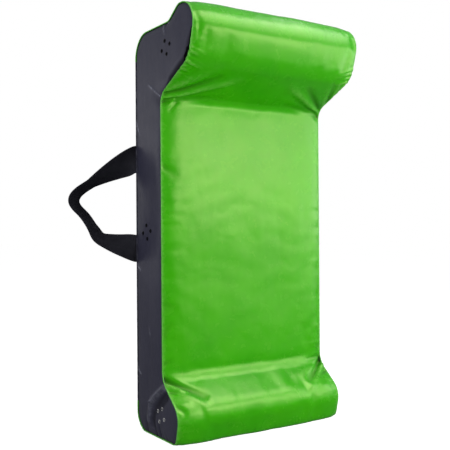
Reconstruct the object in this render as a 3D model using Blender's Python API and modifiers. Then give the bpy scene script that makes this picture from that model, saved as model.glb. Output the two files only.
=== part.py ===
"""Tackle wedge: a foam slab with a big top bolster and a small bottom bolster, in a sewn cover.

Metres, +Z up, the front towards -Y. The origin is on the floor, under the middle of the flat base.
A point of the side view is (depth, height): depth is measured forwards from the back face.
Run with: blender --background --python part.py
"""
import math

import bmesh
import bpy
from mathutils import Matrix, Vector

# Whole object
HEIGHT = 1.100
WIDTH = 0.527
SLAB_DEPTH = 0.143
ORIGIN_DEPTH = 0.118

# Top bolster, ahead of the slab
TOP_REACH = 0.183
TOP_FACE = 0.142
TOP_FACE_LEAN = 0.040
TOP_UNDERSIDE_DROP = 0.070
TOP_CREST = 0.090
SADDLE_DROP = 0.032
SADDLE_RUN = 0.050

# Bottom bolster
BOTTOM_REACH = 0.086
BOTTOM_FACE = 0.078
BOTTOM_FACE_LEAN = 0.018
BOTTOM_SLOPE = 0.074

# Roundings of the side view
BACK_FOOT_RADIUS = 0.052
TOE_RADIUS = 0.020
BOTTOM_NOSE_RADIUS = 0.052
LOWER_NOTCH_RADIUS = 0.060
UPPER_NOTCH_RADIUS = 0.041
CHIN_RADIUS = 0.065
BROW_RADIUS = 0.058
CREST_RADIUS = 0.026
SADDLE_RADIUS = 0.030
BACK_TOP_RADIUS = 0.064
LEAST_RADIUS = 0.002
ARC_STEP = math.radians(20)

# Crown of the cover between its side seams
RECESS_CROWN = 0.012
BOTTOM_CROWN = 0.012
TOP_CROWN = 0.006
BACK_CROWN = 0.005
CROWN_SHARPNESS = 5.0
COVER_COLUMNS = 12
COVER_STRETCH = 0.095

# Cover
PVC = 0.0012
GAP = 0.0003
SEAM_LIP = 0.003
BACK_SEAM_TOP = 0.100
BACK_SEAM_FOOT = 0.075
GUSSET_CROWN = 0.005
GUSSET_SHOULDER = 0.012
GUSSET_SHOULDER_BULGE = 0.0035
GUSSET_FLAT = 0.026

# Foam
FOAM_CLEARANCE = 0.0045
FOAM_EDGE = 0.010

# Zip on the back: its foot above the floor, its head below the back panel's upper seam
ZIP_FOOT = 0.125
ZIP_HEAD = 0.075
ZIP_END = HEIGHT - BACK_SEAM_TOP - ZIP_HEAD
ROW_GAP = 0.0016
ROW_WIDTH = 0.0042
ROW_THICKNESS = 0.0025
TOOTH_PITCH = 0.006
TOOTH_REACH = 0.0022
TOOTH_SHARE = 0.55
STOP_LENGTH = 0.004
SLIDER_LENGTH = 0.020
SLIDER_PLATE = 0.0012
SLIDER_CLEARANCE = 0.0004
SLIDER_FLANGE = 0.0012
SLIDER_RIM = 0.0004
SLIDER_FLARE = 0.0010
SLIDER_CORNER = 0.0030
TAIL_WIDTH = 2 * (ROW_GAP / 2 + ROW_WIDTH + SLIDER_CLEARANCE + SLIDER_FLANGE + SLIDER_RIM)
HEAD_WIDTH = TAIL_WIDTH + SLIDER_FLARE
SLOT_CLEARANCE = 0.0025
SLOT_END = 0.004
SLOT_WIDTH = HEAD_WIDTH + 2 * SLOT_CLEARANCE
TAPE = 0.0008
TAPE_HEM = 0.0088
TAPE_TAIL = 0.014
NECK_LENGTH = 0.007

# Pull and the arch that holds it
PULL_BAR_RADIUS = 0.0011
PULL_ARM = 0.0022
PULL_LENGTH = 0.045
PULL_THICKNESS = 0.0016
PULL_TIP_RADIUS = 0.0035
BAIL_WIDTH = 0.004
BAIL_SPAN = 0.012
BAIL_BAR = 0.0012
BAIL_SHOULDER = 0.0016
BAIL_CLEARANCE = 0.0007
BAIL_RISE = 2 * (PULL_BAR_RADIUS + BAIL_CLEARANCE)
WINDOW_CLEARANCE = 0.0016
PULL_WINDOW = BAIL_WIDTH + 2 * WINDOW_CLEARANCE
SHARP_RADIUS = 0.0002

# Webbing handles
WEB_WIDTH = 0.075
WEB = 0.0024
HANDLE_HEIGHT = 0.612
HANDLE_SPACING = 0.2435
HANDLE_REACH = 0.167
HANDLE_SWEEP = math.radians(33)
HANDLE_STANDOFF = 0.003
TAB_LENGTH = 0.065
TAB_SETBACK = 0.003
TAB_COLUMNS = 4
LOOP_TWIST = math.radians(-78)
LOOP_TWIST_REACH = 0.120
LOOP_STRAIGHTEN = 0.045
LOOP_STEPS = 3
LOOP_COLUMNS = 4

# Vent eyelets in the gussets: (depth, height, tilt of the group)
TOP_VENTS_AHEAD = 0.032
TOP_VENTS_DROP = 0.096
BOTTOM_VENTS_BEHIND = 0.008
VENT_GROUPS = {
    "top": (SLAB_DEPTH + TOP_VENTS_AHEAD, HEIGHT - TOP_VENTS_DROP, math.radians(15)),
    "middle": (0.065, 0.535, math.radians(8)),
    "bottom": (SLAB_DEPTH - BOTTOM_VENTS_BEHIND, 0.062, math.radians(-19)),
}
VENT_LONG = 0.021
VENT_SHORT = 0.018
EYELET_BORE = 0.0028
EYELET_WALL = 0.0007
EYELET_BRIM = 0.0020
EYELET_LIP = 0.0007
EYELET_BARREL = EYELET_BORE + EYELET_WALL
EYELET_FLANGE = EYELET_BARREL + EYELET_BRIM
EYELET_SIDES = 12

# Mesh work
MERGE = 0.00001
WELD = 0.0001
SMOOTH_ANGLE = math.radians(35)
BEVEL_ANGLE = math.radians(50)

GREEN = (0.10, 0.55, 0.02, 1)
GREY = (0.07, 0.07, 0.09, 1)
BLACK = (0.012, 0.012, 0.016, 1)
FOAM = (0.75, 0.72, 0.60, 1)
NICKEL = (0.62, 0.62, 0.64, 1)


def clear_scene():
    for item in list(bpy.data.objects):
        bpy.data.objects.remove(item)


def new_collection(name):
    group = bpy.data.collections.new(name)
    bpy.context.scene.collection.children.link(group)
    return group


def material(name, colour, roughness, metallic=0.0):
    surface = bpy.data.materials.new(name)
    surface.use_nodes = True
    shader = surface.node_tree.nodes["Principled BSDF"]
    shader.inputs["Base Color"].default_value = colour
    shader.inputs["Roughness"].default_value = roughness
    shader.inputs["Metallic"].default_value = metallic
    return surface


# The side view

def corner(depth, height, radius, crown=0.0):
    return {"at": Vector((depth, height)), "radius": radius, "crown": crown}


def outline_corners():
    """The side view's corners at the seams, from the back foot round the front to the back top."""
    brow = SLAB_DEPTH + TOP_REACH
    chin_height = HEIGHT - TOP_FACE
    toe = SLAB_DEPTH + BOTTOM_REACH
    crest_back = brow - TOP_CREST
    saddle_height = HEIGHT - SADDLE_DROP
    return [
        corner(0, 0, BACK_FOOT_RADIUS, BACK_CROWN),
        corner(toe - BOTTOM_FACE_LEAN, 0, TOE_RADIUS, BOTTOM_CROWN),
        corner(toe, BOTTOM_FACE, BOTTOM_NOSE_RADIUS, BOTTOM_CROWN),
        corner(SLAB_DEPTH, BOTTOM_FACE + BOTTOM_SLOPE, LOWER_NOTCH_RADIUS, RECESS_CROWN),
        corner(SLAB_DEPTH, chin_height - TOP_UNDERSIDE_DROP, UPPER_NOTCH_RADIUS, RECESS_CROWN),
        corner(brow - TOP_FACE_LEAN, chin_height, CHIN_RADIUS, TOP_CROWN),
        corner(brow, HEIGHT, BROW_RADIUS, TOP_CROWN),
        corner(crest_back, HEIGHT, CREST_RADIUS, TOP_CROWN),
        corner(crest_back - SADDLE_RUN, saddle_height, SADDLE_RADIUS, TOP_CROWN),
        corner(0, saddle_height, BACK_TOP_RADIUS, BACK_CROWN),
    ]


def left_of(direction):
    return Vector((-direction.y, direction.x))


def inset(corners, depth):
    """Corners of the outline moved inwards by depth, with radii that stay concentric."""
    moved = []
    for index, item in enumerate(corners):
        into = (item["at"] - corners[index - 1]["at"]).normalized()
        out = (corners[(index + 1) % len(corners)]["at"] - item["at"]).normalized()
        a, b = left_of(into), left_of(out)
        point = item["at"] + (a + b) * depth / (1 + a.dot(b))
        convex = into.cross(out) > 0
        radius = item["radius"] - depth if convex else item["radius"] + depth
        moved.append(corner(point.x, point.y, max(radius, LEAST_RADIUS), item["crown"]))
    return moved


def rounded(before, item, after):
    """Points of the arc that rounds one corner."""
    into = (item["at"] - before).normalized()
    out = (after - item["at"]).normalized()
    turn = math.atan2(into.cross(out), into.dot(out))
    side = 1 if turn > 0 else -1
    start = item["at"] - into * item["radius"] * math.tan(abs(turn) / 2)
    centre = start + left_of(into) * item["radius"] * side
    steps = max(2, round(abs(turn) / ARC_STEP))
    arm = start - centre
    return [centre + Matrix.Rotation(turn * k / steps, 2) @ arm for k in range(steps + 1)]


def closed_outline(corners):
    points = []
    for index, item in enumerate(corners):
        after = corners[(index + 1) % len(corners)]["at"]
        points += rounded(corners[index - 1]["at"], item, after)
    return points


def cover_path():
    """(point, crown) pairs along the wrap, from its seam low on the back to its seam high up."""
    corners = outline_corners()
    foot = Vector((0, BACK_SEAM_FOOT))
    head = Vector((0, HEIGHT - BACK_SEAM_TOP))
    knots = [foot] + [item["at"] for item in corners] + [head]
    path = [(foot, BACK_CROWN)]
    for index, item in enumerate(corners):
        path += [(p, item["crown"]) for p in rounded(knots[index], item, knots[index + 2])]
    path.append((head, BACK_CROWN))
    filled = [path[0]]
    for (a, crown_a), (b, crown_b) in zip(path, path[1:]):
        pieces = max(1, math.ceil((b - a).length / COVER_STRETCH))
        for k in range(1, pieces + 1):
            share = k / pieces
            filled.append((a.lerp(b, share), crown_a + (crown_b - crown_a) * share))
    return filled


def place(x, point):
    """World place of a side-view point at a distance x across."""
    return Vector((x, ORIGIN_DEPTH - point.x, point.y))


def crown_share(x):
    """How much of the full crown a cover panel has at x: none at the seams, all in the middle."""
    return 1 - min(1, abs(2 * x / WIDTH)) ** CROWN_SHARPNESS


def back_surface(x):
    return ORIGIN_DEPTH + BACK_CROWN * crown_share(x)


# Making objects

def add(name, mesh, surface, group):
    item = bpy.data.objects.new(name, mesh)
    mesh.materials.clear()
    mesh.materials.append(surface)
    group.objects.link(item)
    return item


def mesh_from(name, work):
    bmesh.ops.recalc_face_normals(work, faces=work.faces)
    mesh = bpy.data.meshes.new(name)
    work.to_mesh(mesh)
    work.free()
    mesh.shade_smooth()
    mesh.set_sharp_from_angle(angle=SMOOTH_ANGLE)
    return mesh


def grid_mesh(name, columns, rows, position):
    """An open sheet whose vertex (column, row) lies at position(column, row)."""
    work = bmesh.new()
    bmesh.ops.create_grid(work, x_segments=columns, y_segments=rows, size=0.5)
    for vertex in work.verts:
        column = round((vertex.co.x + 0.5) * columns)
        row = round((vertex.co.y + 0.5) * rows)
        vertex.co = position(column, row)
    mesh = bpy.data.meshes.new(name)
    work.to_mesh(mesh)
    work.free()
    mesh.shade_smooth()
    return mesh


def solidify(item, thickness, offset):
    wall = item.modifiers.new("wall", "SOLIDIFY")
    wall.thickness = thickness
    wall.offset = offset
    wall.use_even_offset = True


def bevel(item, width, segments=2):
    edge = item.modifiers.new("edge", "BEVEL")
    edge.width = width
    edge.segments = segments
    edge.limit_method = "ANGLE"
    edge.angle_limit = BEVEL_ANGLE


def boolean(item, tool, operation):
    step = item.modifiers.new(tool.name, "BOOLEAN")
    step.operation = operation
    step.object = tool
    step.solver = "EXACT"


def box(name, low, high):
    """A closed box between two corners, as a mesh in world place."""
    work = bmesh.new()
    bmesh.ops.create_cube(work, size=1.0)
    size = [high[k] - low[k] for k in range(3)]
    middle = [(high[k] + low[k]) / 2 for k in range(3)]
    bmesh.ops.scale(work, vec=size, verts=work.verts)
    bmesh.ops.translate(work, vec=middle, verts=work.verts)
    return mesh_from(name, work)


def flat_solid(name, points, thickness):
    """A flat outline with a thickness, centred on its own plane, as a mesh."""
    curve = bpy.data.curves.new(name, "CURVE")
    curve.dimensions = "2D"
    curve.fill_mode = "BOTH"
    curve.extrude = thickness / 2
    line = curve.splines.new("POLY")
    line.points.add(len(points) - 1)
    for spot, point in zip(line.points, points):
        spot.co = (point.x, point.y, 0, 1)
    line.use_cyclic_u = True
    holder = bpy.data.objects.new(name, curve)
    bpy.context.scene.collection.objects.link(holder)
    bpy.context.view_layer.update()
    shape = holder.evaluated_get(bpy.context.evaluated_depsgraph_get())
    mesh = bpy.data.meshes.new_from_object(shape)
    bpy.data.objects.remove(holder)
    work = bmesh.new()
    work.from_mesh(mesh)
    bmesh.ops.remove_doubles(work, verts=work.verts, dist=MERGE)
    work.to_mesh(mesh)
    work.free()
    return mesh


def side_view_matrix():
    """Turns a flat outline of (depth, height) points into the side view's plane."""
    return Matrix(((0, 0, -1, 0), (-1, 0, 0, ORIGIN_DEPTH), (0, 1, 0, 0), (0, 0, 0, 1)))


def as_cutter(item, group):
    for holder in list(item.users_collection):
        holder.objects.unlink(item)
    group.objects.link(item)
    item.hide_render = True
    item.display_type = "WIRE"
    return item


# Foam inside

def foam_block(name, corners, foam, group):
    """One foam block: a rounded side view as wide as the room between the gussets."""
    width = WIDTH - 2 * (SEAM_LIP + FOAM_CLEARANCE)
    mesh = flat_solid(name, closed_outline(corners), width)
    item = add(name, mesh, foam, group)
    item.matrix_world = side_view_matrix()
    weld = item.modifiers.new("weld", "WELD")
    weld.merge_threshold = WELD
    bevel(item, FOAM_EDGE)
    return item


def make_foam(group, foam):
    """A slab with the two bolsters glued to its front."""
    inner = inset(outline_corners(), FOAM_CLEARANCE)
    back_foot, toe, nose, low_notch, high_notch, chin, brow, crest, saddle, back_top = inner
    front = SLAB_DEPTH - FOAM_CLEARANCE
    glue = front + GAP
    top = back_top["at"].y
    foot = back_foot["at"].y
    foam_block("foam_slab", [
        back_foot,
        corner(front, foot, LEAST_RADIUS),
        corner(front, top, LEAST_RADIUS),
        back_top,
    ], foam, group)
    foam_block("foam_top_bolster", [
        corner(glue, high_notch["at"].y, LEAST_RADIUS),
        chin,
        brow,
        crest,
        saddle,
        corner(glue, top, LEAST_RADIUS),
    ], foam, group)
    foam_block("foam_bottom_bolster", [
        corner(glue, foot, LEAST_RADIUS),
        toe,
        nose,
        corner(glue, low_notch["at"].y, LEAST_RADIUS),
    ], foam, group)


# Cover

def make_wrap(group, pvc):
    """The green panel: up the front, over the top and under the base, crowned between its seams."""
    path = cover_path()
    last = len(path) - 1

    def normal(row):
        ahead = path[min(row + 1, last)][0] - path[max(row - 1, 0)][0]
        return -left_of(ahead.normalized())

    def position(column, row):
        x = WIDTH / 2 * math.sin(math.pi / 2 * (2 * column / COVER_COLUMNS - 1))
        point, crown = path[row]
        point = point + normal(row) * crown * crown_share(x)
        return place(x, Vector((point.x, max(point.y, 0))))

    item = add("front_panel", grid_mesh("front_panel", COVER_COLUMNS, last, position), pvc, group)
    solidify(item, PVC, -1)
    return item


def gusset_rings():
    """(inset, bulge) of the rings that a gusset is lofted through."""
    rim = PVC + GAP
    return [(rim, 0.0), (GUSSET_SHOULDER, GUSSET_SHOULDER_BULGE), (GUSSET_FLAT, GUSSET_CROWN)]


def make_gusset(side, group, cutters, pvc):
    """One end panel, let in between the wrap's edges and swelling a little past them."""
    name = "gusset_left" if side < 0 else "gusset_right"
    work = bmesh.new()
    loops = []
    for depth, bulge in gusset_rings():
        x = side * (WIDTH / 2 - SEAM_LIP + bulge)
        points = closed_outline(inset(outline_corners(), depth))
        verts = [work.verts.new(place(x, point)) for point in points]
        ring = [work.edges.new((a, b)) for a, b in zip(verts, verts[1:] + verts[:1])]
        if loops:
            bmesh.ops.bridge_loops(work, edges=loops[-1] + ring)
        loops.append(ring)
    bmesh.ops.contextual_create(work, geom=loops[-1])
    mesh = mesh_from(name, work)
    if mesh.polygons[0].normal.x * side < 0:
        mesh.flip_normals()
    item = add(name, mesh, pvc, group)
    solidify(item, PVC, -1)
    boolean(item, vent_cutter(name, side, cutters), "DIFFERENCE")
    return item


def make_back_panel(group, cutters, pvc):
    """The back, with a slot down its middle for the zip."""
    foot = BACK_SEAM_FOOT + GAP
    head = HEIGHT - BACK_SEAM_TOP - GAP

    def position(column, row):
        x = WIDTH / 2 * math.sin(math.pi / 2 * (1 - 2 * column / COVER_COLUMNS))
        return Vector((x, back_surface(x), head if row else foot))

    item = add("back_panel", grid_mesh("back_panel", COVER_COLUMNS, 1, position), pvc, group)
    solidify(item, PVC, -1)
    half = SLOT_WIDTH / 2
    low = (-half, ORIGIN_DEPTH - PVC, ZIP_FOOT - SLOT_END)
    high = (half, zip_face() + PVC, ZIP_END + SLOT_END)
    slot = bpy.data.objects.new("zip_slot", box("zip_slot", low, high))
    boolean(item, as_cutter(slot, cutters), "DIFFERENCE")


# Vents

def vent_places():
    """(name, depth, height) of the vents in one gusset: a diamond of four in each group."""
    found = []
    for group, (depth, height, tilt) in VENT_GROUPS.items():
        for k in range(4):
            reach = VENT_LONG if k % 2 == 0 else VENT_SHORT
            angle = tilt + k * math.pi / 2
            found.append((
                group + "_" + str(k + 1),
                depth + reach * math.cos(angle),
                height + reach * math.sin(angle),
            ))
    return found


def gusset_face(side):
    return side * (WIDTH / 2 - SEAM_LIP + GUSSET_CROWN)


def vent_cutter(name, side, cutters):
    """Plain round holes through a gusset, a little wider than the eyelets' barrels."""
    work = bmesh.new()
    turn = Matrix.Rotation(math.pi / 2, 4, "Y")
    through = 4 * PVC
    for _, depth, height in vent_places():
        at = place(gusset_face(side) - side * PVC / 2, Vector((depth, height)))
        bmesh.ops.create_cone(
            work,
            cap_ends=True,
            segments=EYELET_SIDES,
            radius1=EYELET_BARREL + GAP,
            radius2=EYELET_BARREL + GAP,
            depth=through,
            matrix=Matrix.Translation(at) @ turn,
        )
    mesh = mesh_from(name + "_holes", work)
    item = bpy.data.objects.new(name + "_holes", mesh)
    return as_cutter(item, cutters)


def eyelet_profile():
    """Half section of an eyelet about Z, with Z = 0 on the gusset's outer face."""
    inside = -(PVC + GAP)
    return [
        (EYELET_BORE, EYELET_LIP),
        (EYELET_FLANGE - EYELET_LIP, EYELET_LIP),
        (EYELET_FLANGE, GAP),
        (EYELET_BARREL, GAP),
        (EYELET_BARREL, inside),
        (EYELET_FLANGE, inside),
        (EYELET_BORE, inside - EYELET_LIP),
    ]


def make_eyelets(group, nickel):
    work = bmesh.new()
    verts = [work.verts.new((radius, 0, height)) for radius, height in eyelet_profile()]
    for a, b in zip(verts, verts[1:] + verts[:1]):
        work.edges.new((a, b))
    mesh = bpy.data.meshes.new("eyelet")
    work.to_mesh(mesh)
    work.free()
    mesh.materials.append(nickel)
    for side, word in ((-1, "left"), (1, "right")):
        for name, depth, height in vent_places():
            item = bpy.data.objects.new("eyelet_" + word + "_" + name, mesh)
            group.objects.link(item)
            item.location = place(gusset_face(side), Vector((depth, height)))
            item.rotation_euler = (0, side * math.pi / 2, 0)
            turn = item.modifiers.new("turn", "SCREW")
            turn.steps = EYELET_SIDES
            turn.render_steps = EYELET_SIDES
            turn.use_merge_vertices = True
            turn.merge_threshold = MERGE


# Zip

def zip_face():
    return back_surface(0)


def tape_face():
    return zip_face() - PVC - GAP


def slider_height():
    return ZIP_FOOT + STOP_LENGTH + GAP + SLIDER_LENGTH / 2


def across(side, near, far):
    """Lowest and highest x of a span that runs from near to far, out from the middle on one side."""
    return sorted((side * near, side * far))


def tooth_row_points(side, length):
    """Outline of one tooth row, as (across, height) points: a cord with teeth towards the middle."""
    tip = ROW_GAP / 2
    root = tip + TOOTH_REACH
    outer = tip + ROW_WIDTH
    count = int(length / TOOTH_PITCH)
    pitch = length / count
    points = [Vector((outer, length)), Vector((outer, 0)), Vector((root, 0))]
    for k in range(count):
        start = pitch * (k + (1 - TOOTH_SHARE) / 2)
        end = start + pitch * TOOTH_SHARE
        points += [Vector((root, start)), Vector((tip, start)), Vector((tip, end)), Vector((root, end))]
    points.append(Vector((root, length)))
    return [Vector((side * point.x, point.y)) for point in points]


def tooth_row_mesh(name, points, low, high):
    """A tooth row: its outline of (across, height) points, pushed out from low to high."""
    work = bmesh.new()
    verts = [work.verts.new((point.x, low, point.y)) for point in points]
    ring = [work.edges.new((a, b)) for a, b in zip(verts, verts[1:] + verts[:1])]
    face = bmesh.ops.contextual_create(work, geom=ring)["faces"]
    pushed = bmesh.ops.extrude_face_region(work, geom=face)["geom"]
    moved = [item for item in pushed if isinstance(item, bmesh.types.BMVert)]
    bmesh.ops.translate(work, vec=(0, high - low, 0), verts=moved)
    return mesh_from(name, work)


def make_zip_rows(group, tape_surface, teeth):
    """Tape, tooth row and closed-end stop on each side, and one stop at the open end."""
    outer = tape_face()
    row_low = outer + GAP
    row_high = row_low + ROW_THICKNESS
    stop_high = row_high + SLIDER_CLEARANCE + SLIDER_PLATE
    near = ROW_GAP / 2
    row_edge = near + ROW_WIDTH
    for side, word in ((-1, "left"), (1, "right")):
        x0, x1 = across(side, near, SLOT_WIDTH / 2 + TAPE_HEM)
        low = (x0, outer - TAPE, ZIP_FOOT - TAPE_TAIL)
        high = (x1, outer, ZIP_END + TAPE_TAIL)
        add("zip_tape_" + word, box("zip_tape", low, high), tape_surface, group)
        foot = ZIP_FOOT + STOP_LENGTH + GAP
        length = ZIP_END - STOP_LENGTH - GAP - foot
        row = tooth_row_mesh("zip_teeth", tooth_row_points(side, length), row_low, row_high)
        row.transform(Matrix.Translation((0, 0, foot)))
        add("zip_teeth_" + word, row, teeth, group)
        x0, x1 = across(side, near, row_edge)
        low = (x0, row_low, ZIP_FOOT)
        high = (x1, stop_high, ZIP_FOOT + STOP_LENGTH)
        add("zip_stop_" + word, box("zip_stop", low, high), teeth, group)
    low = (-row_edge, row_low, ZIP_END - STOP_LENGTH)
    high = (row_edge, stop_high, ZIP_END)
    add("zip_end_stop", box("zip_end_stop", low, high), teeth, group)


def slider_plate_points():
    """A slider plate: wide at the head, drawn in towards the tail, with round corners."""
    end = SLIDER_LENGTH / 2
    shoulder = SLIDER_LENGTH / 5
    corners = [
        corner(-TAIL_WIDTH / 2, -end, SLIDER_CORNER),
        corner(TAIL_WIDTH / 2, -end, SLIDER_CORNER),
        corner(HEAD_WIDTH / 2, shoulder, SLIDER_CORNER),
        corner(HEAD_WIDTH / 2, end, SLIDER_CORNER),
        corner(-HEAD_WIDTH / 2, end, SLIDER_CORNER),
        corner(-HEAD_WIDTH / 2, shoulder, SLIDER_CORNER),
    ]
    return closed_outline(corners)


def back_view(height_along_y):
    """Turns a flat outline of (across, height) points to stand in the back's plane."""
    return Matrix.Translation((0, height_along_y, 0)) @ Matrix.Rotation(math.pi / 2, 4, "X")


def make_slider(group, cutters, metal):
    """Two plates joined by a neck between the tooth rows, side flanges, and a bail for the pull."""
    row_high = tape_face() + GAP + ROW_THICKNESS
    outer_plate = row_high + SLIDER_CLEARANCE + SLIDER_PLATE / 2
    inner_plate = tape_face() - TAPE - SLIDER_CLEARANCE - SLIDER_PLATE / 2
    middle = Matrix.Translation((0, 0, slider_height()))
    points = slider_plate_points()
    mesh = flat_solid("zip_slider", points, SLIDER_PLATE)
    mesh.transform(back_view(outer_plate))
    item = add("zip_slider", mesh, metal, group)
    item.matrix_world = middle
    tools = []

    def piece(word, shape):
        tool = add("slider_" + word, shape, metal, cutters)
        tool.matrix_world = middle
        tools.append(as_cutter(tool, cutters))

    inner = flat_solid("slider_inner", points, SLIDER_PLATE)
    inner.transform(back_view(inner_plate))
    piece("inner_plate", inner)
    neck = ROW_GAP / 2 - SLIDER_CLEARANCE
    top = SLIDER_LENGTH / 2 - SLIDER_CORNER
    low = (-neck, inner_plate, top - NECK_LENGTH)
    piece("neck", box("neck", low, (neck, outer_plate - SLIDER_PLATE / 4, top)))
    flange_in = ROW_GAP / 2 + ROW_WIDTH + SLIDER_CLEARANCE
    flange_low = tape_face() + SLIDER_CLEARANCE
    for side, word in ((-1, "left"), (1, "right")):
        x0, x1 = across(side, flange_in, flange_in + SLIDER_FLANGE)
        low = (x0, flange_low, -top)
        high = (x1, outer_plate, top)
        piece("flange_" + word, box("flange", low, high))
    piece("bail", bail_mesh(outer_plate))
    for tool in tools:
        boolean(item, tool, "UNION")
    return item


def bail_mesh(plate):
    """The arch on the slider that holds the pull: a flat bridge with rounded shoulders."""
    foot = plate + SLIDER_PLATE / 4
    head = plate + SLIDER_PLATE / 2 + BAIL_RISE + BAIL_BAR
    half = BAIL_SPAN / 2
    arch = [
        corner(-half, foot, SHARP_RADIUS),
        corner(-half + BAIL_BAR, foot, SHARP_RADIUS),
        corner(-half + BAIL_BAR, head - BAIL_BAR, BAIL_BAR / 2),
        corner(half - BAIL_BAR, head - BAIL_BAR, BAIL_BAR / 2),
        corner(half - BAIL_BAR, foot, SHARP_RADIUS),
        corner(half, foot, SHARP_RADIUS),
        corner(half, head, BAIL_SHOULDER),
        corner(-half, head, BAIL_SHOULDER),
    ]
    mesh = flat_solid("bail", closed_outline(arch), BAIL_WIDTH)
    mesh.transform(Matrix(((0, 0, 1, 0), (0, 1, 0, 0), (1, 0, 0, 0), (0, 0, 0, 1))))
    mesh.flip_normals()
    return mesh


def pull_axis():
    """Depth and height of the pull's bar, under the bail."""
    plate_top = tape_face() + GAP + ROW_THICKNESS + SLIDER_CLEARANCE + SLIDER_PLATE
    return plate_top + BAIL_RISE / 2, slider_height()


def make_pull(group, cutters, metal):
    """A flat tab that hangs from a round bar through the bail."""
    half = PULL_WINDOW / 2 + PULL_ARM
    window_end = -(BAIL_SPAN / 2 + PULL_WINDOW / 2)
    tab = [
        corner(-half, -PULL_LENGTH, PULL_TIP_RADIUS),
        corner(half, -PULL_LENGTH, PULL_TIP_RADIUS),
        corner(half, PULL_BAR_RADIUS / 2, PULL_ARM / 3),
        corner(-half, PULL_BAR_RADIUS / 2, PULL_ARM / 3),
    ]
    window = [
        corner(-PULL_WINDOW / 2, window_end, PULL_WINDOW / 4),
        corner(PULL_WINDOW / 2, window_end, PULL_WINDOW / 4),
        corner(PULL_WINDOW / 2, 2 * PULL_BAR_RADIUS, SHARP_RADIUS),
        corner(-PULL_WINDOW / 2, 2 * PULL_BAR_RADIUS, SHARP_RADIUS),
    ]
    mesh = flat_solid("zip_pull", closed_outline(tab), PULL_THICKNESS)
    mesh.transform(back_view(0))
    depth, height = pull_axis()
    item = add("zip_pull", mesh, metal, group)
    item.location = (0, depth, height)
    hole = flat_solid("pull_window", closed_outline(window), 2 * PULL_THICKNESS)
    hole.transform(back_view(0))
    cutter = add("pull_window", hole, metal, cutters)
    cutter.location = item.location
    boolean(item, as_cutter(cutter, cutters), "DIFFERENCE")
    work = bmesh.new()
    bmesh.ops.create_cone(
        work,
        cap_ends=True,
        segments=EYELET_SIDES,
        radius1=PULL_BAR_RADIUS,
        radius2=PULL_BAR_RADIUS,
        depth=2 * half - PULL_ARM / 4,
        matrix=Matrix.Rotation(math.pi / 2, 4, "Y"),
    )
    bar = add("pull_bar", mesh_from("pull_bar", work), metal, cutters)
    bar.location = item.location
    boolean(item, as_cutter(bar, cutters), "UNION")
    return item


# Handles

def smooth_path(points, steps):
    """Points of a smooth curve through the given ones, steps to a stretch."""
    ends = [2 * points[0] - points[1]] + points + [2 * points[-1] - points[-2]]
    found = []
    for a, b, c, d in zip(ends, ends[1:], ends[2:], ends[3:]):
        for k in range(steps):
            t = k / steps
            found.append(
                0.5 * (2 * b + (c - a) * t + (2 * a - 5 * b + 4 * c - d) * t ** 2
                       + (3 * b - a - 3 * c + d) * t ** 3)
            )
    found.append(points[-1])
    return found


def loop_middle():
    """Middle line of the free webbing in the loop's own plane, as (reach, height) points.

    The upper end runs down in a straight line, turns at the grip, and comes back to a kink from
    which the lower end runs in with a sag. Heights are measured from the middle of the two ends.
    """
    shares = [
        (0, 1.0), (0.20, 0.85), (0.47, 0.66), (0.72, 0.46), (0.89, 0.31), (0.98, 0.18), (1.0, 0.05),
        (0.95, -0.08), (0.82, -0.27), (0.68, -0.56), (0.585, -0.75), (0.40, -0.85), (0.15, -0.94),
        (0, -1.0),
    ]
    high = HANDLE_SPACING / 2
    return [Vector((reach * HANDLE_REACH, height * high)) for reach, height in shares]


def hinge_line(side):
    return Vector((side * (WIDTH / 2 + HANDLE_STANDOFF), ORIGIN_DEPTH + GAP + WEB / 2, HANDLE_HEIGHT))


def make_loop(side, group, webbing):
    """The free loop: a strip of even width that turns out of its own plane towards the grip."""
    middle = smooth_path(loop_middle(), LOOP_STEPS)
    rows = len(middle) - 1
    out = Vector((side * math.cos(HANDLE_SWEEP), math.sin(HANDLE_SWEEP), 0))
    across = Vector((-side * math.sin(HANDLE_SWEEP), math.cos(HANDLE_SWEEP), 0))

    def twist(reach):
        return LOOP_TWIST * min(1, reach / LOOP_TWIST_REACH)

    def position(column, row):
        along = (middle[min(row + 1, rows)] - middle[max(row - 1, 0)]).normalized()
        lean = WEB_WIDTH * (0.5 - column / LOOP_COLUMNS)
        upright = Vector((0, 1 if along.x > 0 else -1))
        free = min(1, middle[row].x / LOOP_STRAIGHTEN)
        width_way = upright.lerp(left_of(along), free).normalized()
        flat = middle[row] + width_way * lean * math.cos(twist(middle[row].x))
        reach = max(flat.x, 0)
        return out * reach + across * lean * math.sin(twist(reach)) + Vector((0, 0, flat.y))

    name = "handle_loop_" + ("left" if side < 0 else "right")
    item = add(name, grid_mesh(name, LOOP_COLUMNS, rows, position), webbing, group)
    item.location = hinge_line(side)
    solidify(item, WEB, 0)
    return item


def make_tabs(side, group, webbing):
    """The two webbing ends, sewn flat to the back beside the corner."""
    word = "left" if side < 0 else "right"
    for level, sign in (("upper", 1), ("lower", -1)):
        middle = HANDLE_HEIGHT + sign * HANDLE_SPACING / 2

        def position(column, row, middle=middle):
            inward = TAB_SETBACK + (TAB_LENGTH - TAB_SETBACK) * column / TAB_COLUMNS
            x = side * (WIDTH / 2 - inward)
            height = middle + WEB_WIDTH * (row - 0.5)
            return Vector((x, back_surface(x) + GAP, height))

        name = "handle_end_" + word + "_" + level
        mesh = grid_mesh(name, TAB_COLUMNS, 1, position)
        if side < 0:
            mesh.flip_normals()
        item = add(name, mesh, webbing, group)
        solidify(item, WEB, 1)


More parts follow.
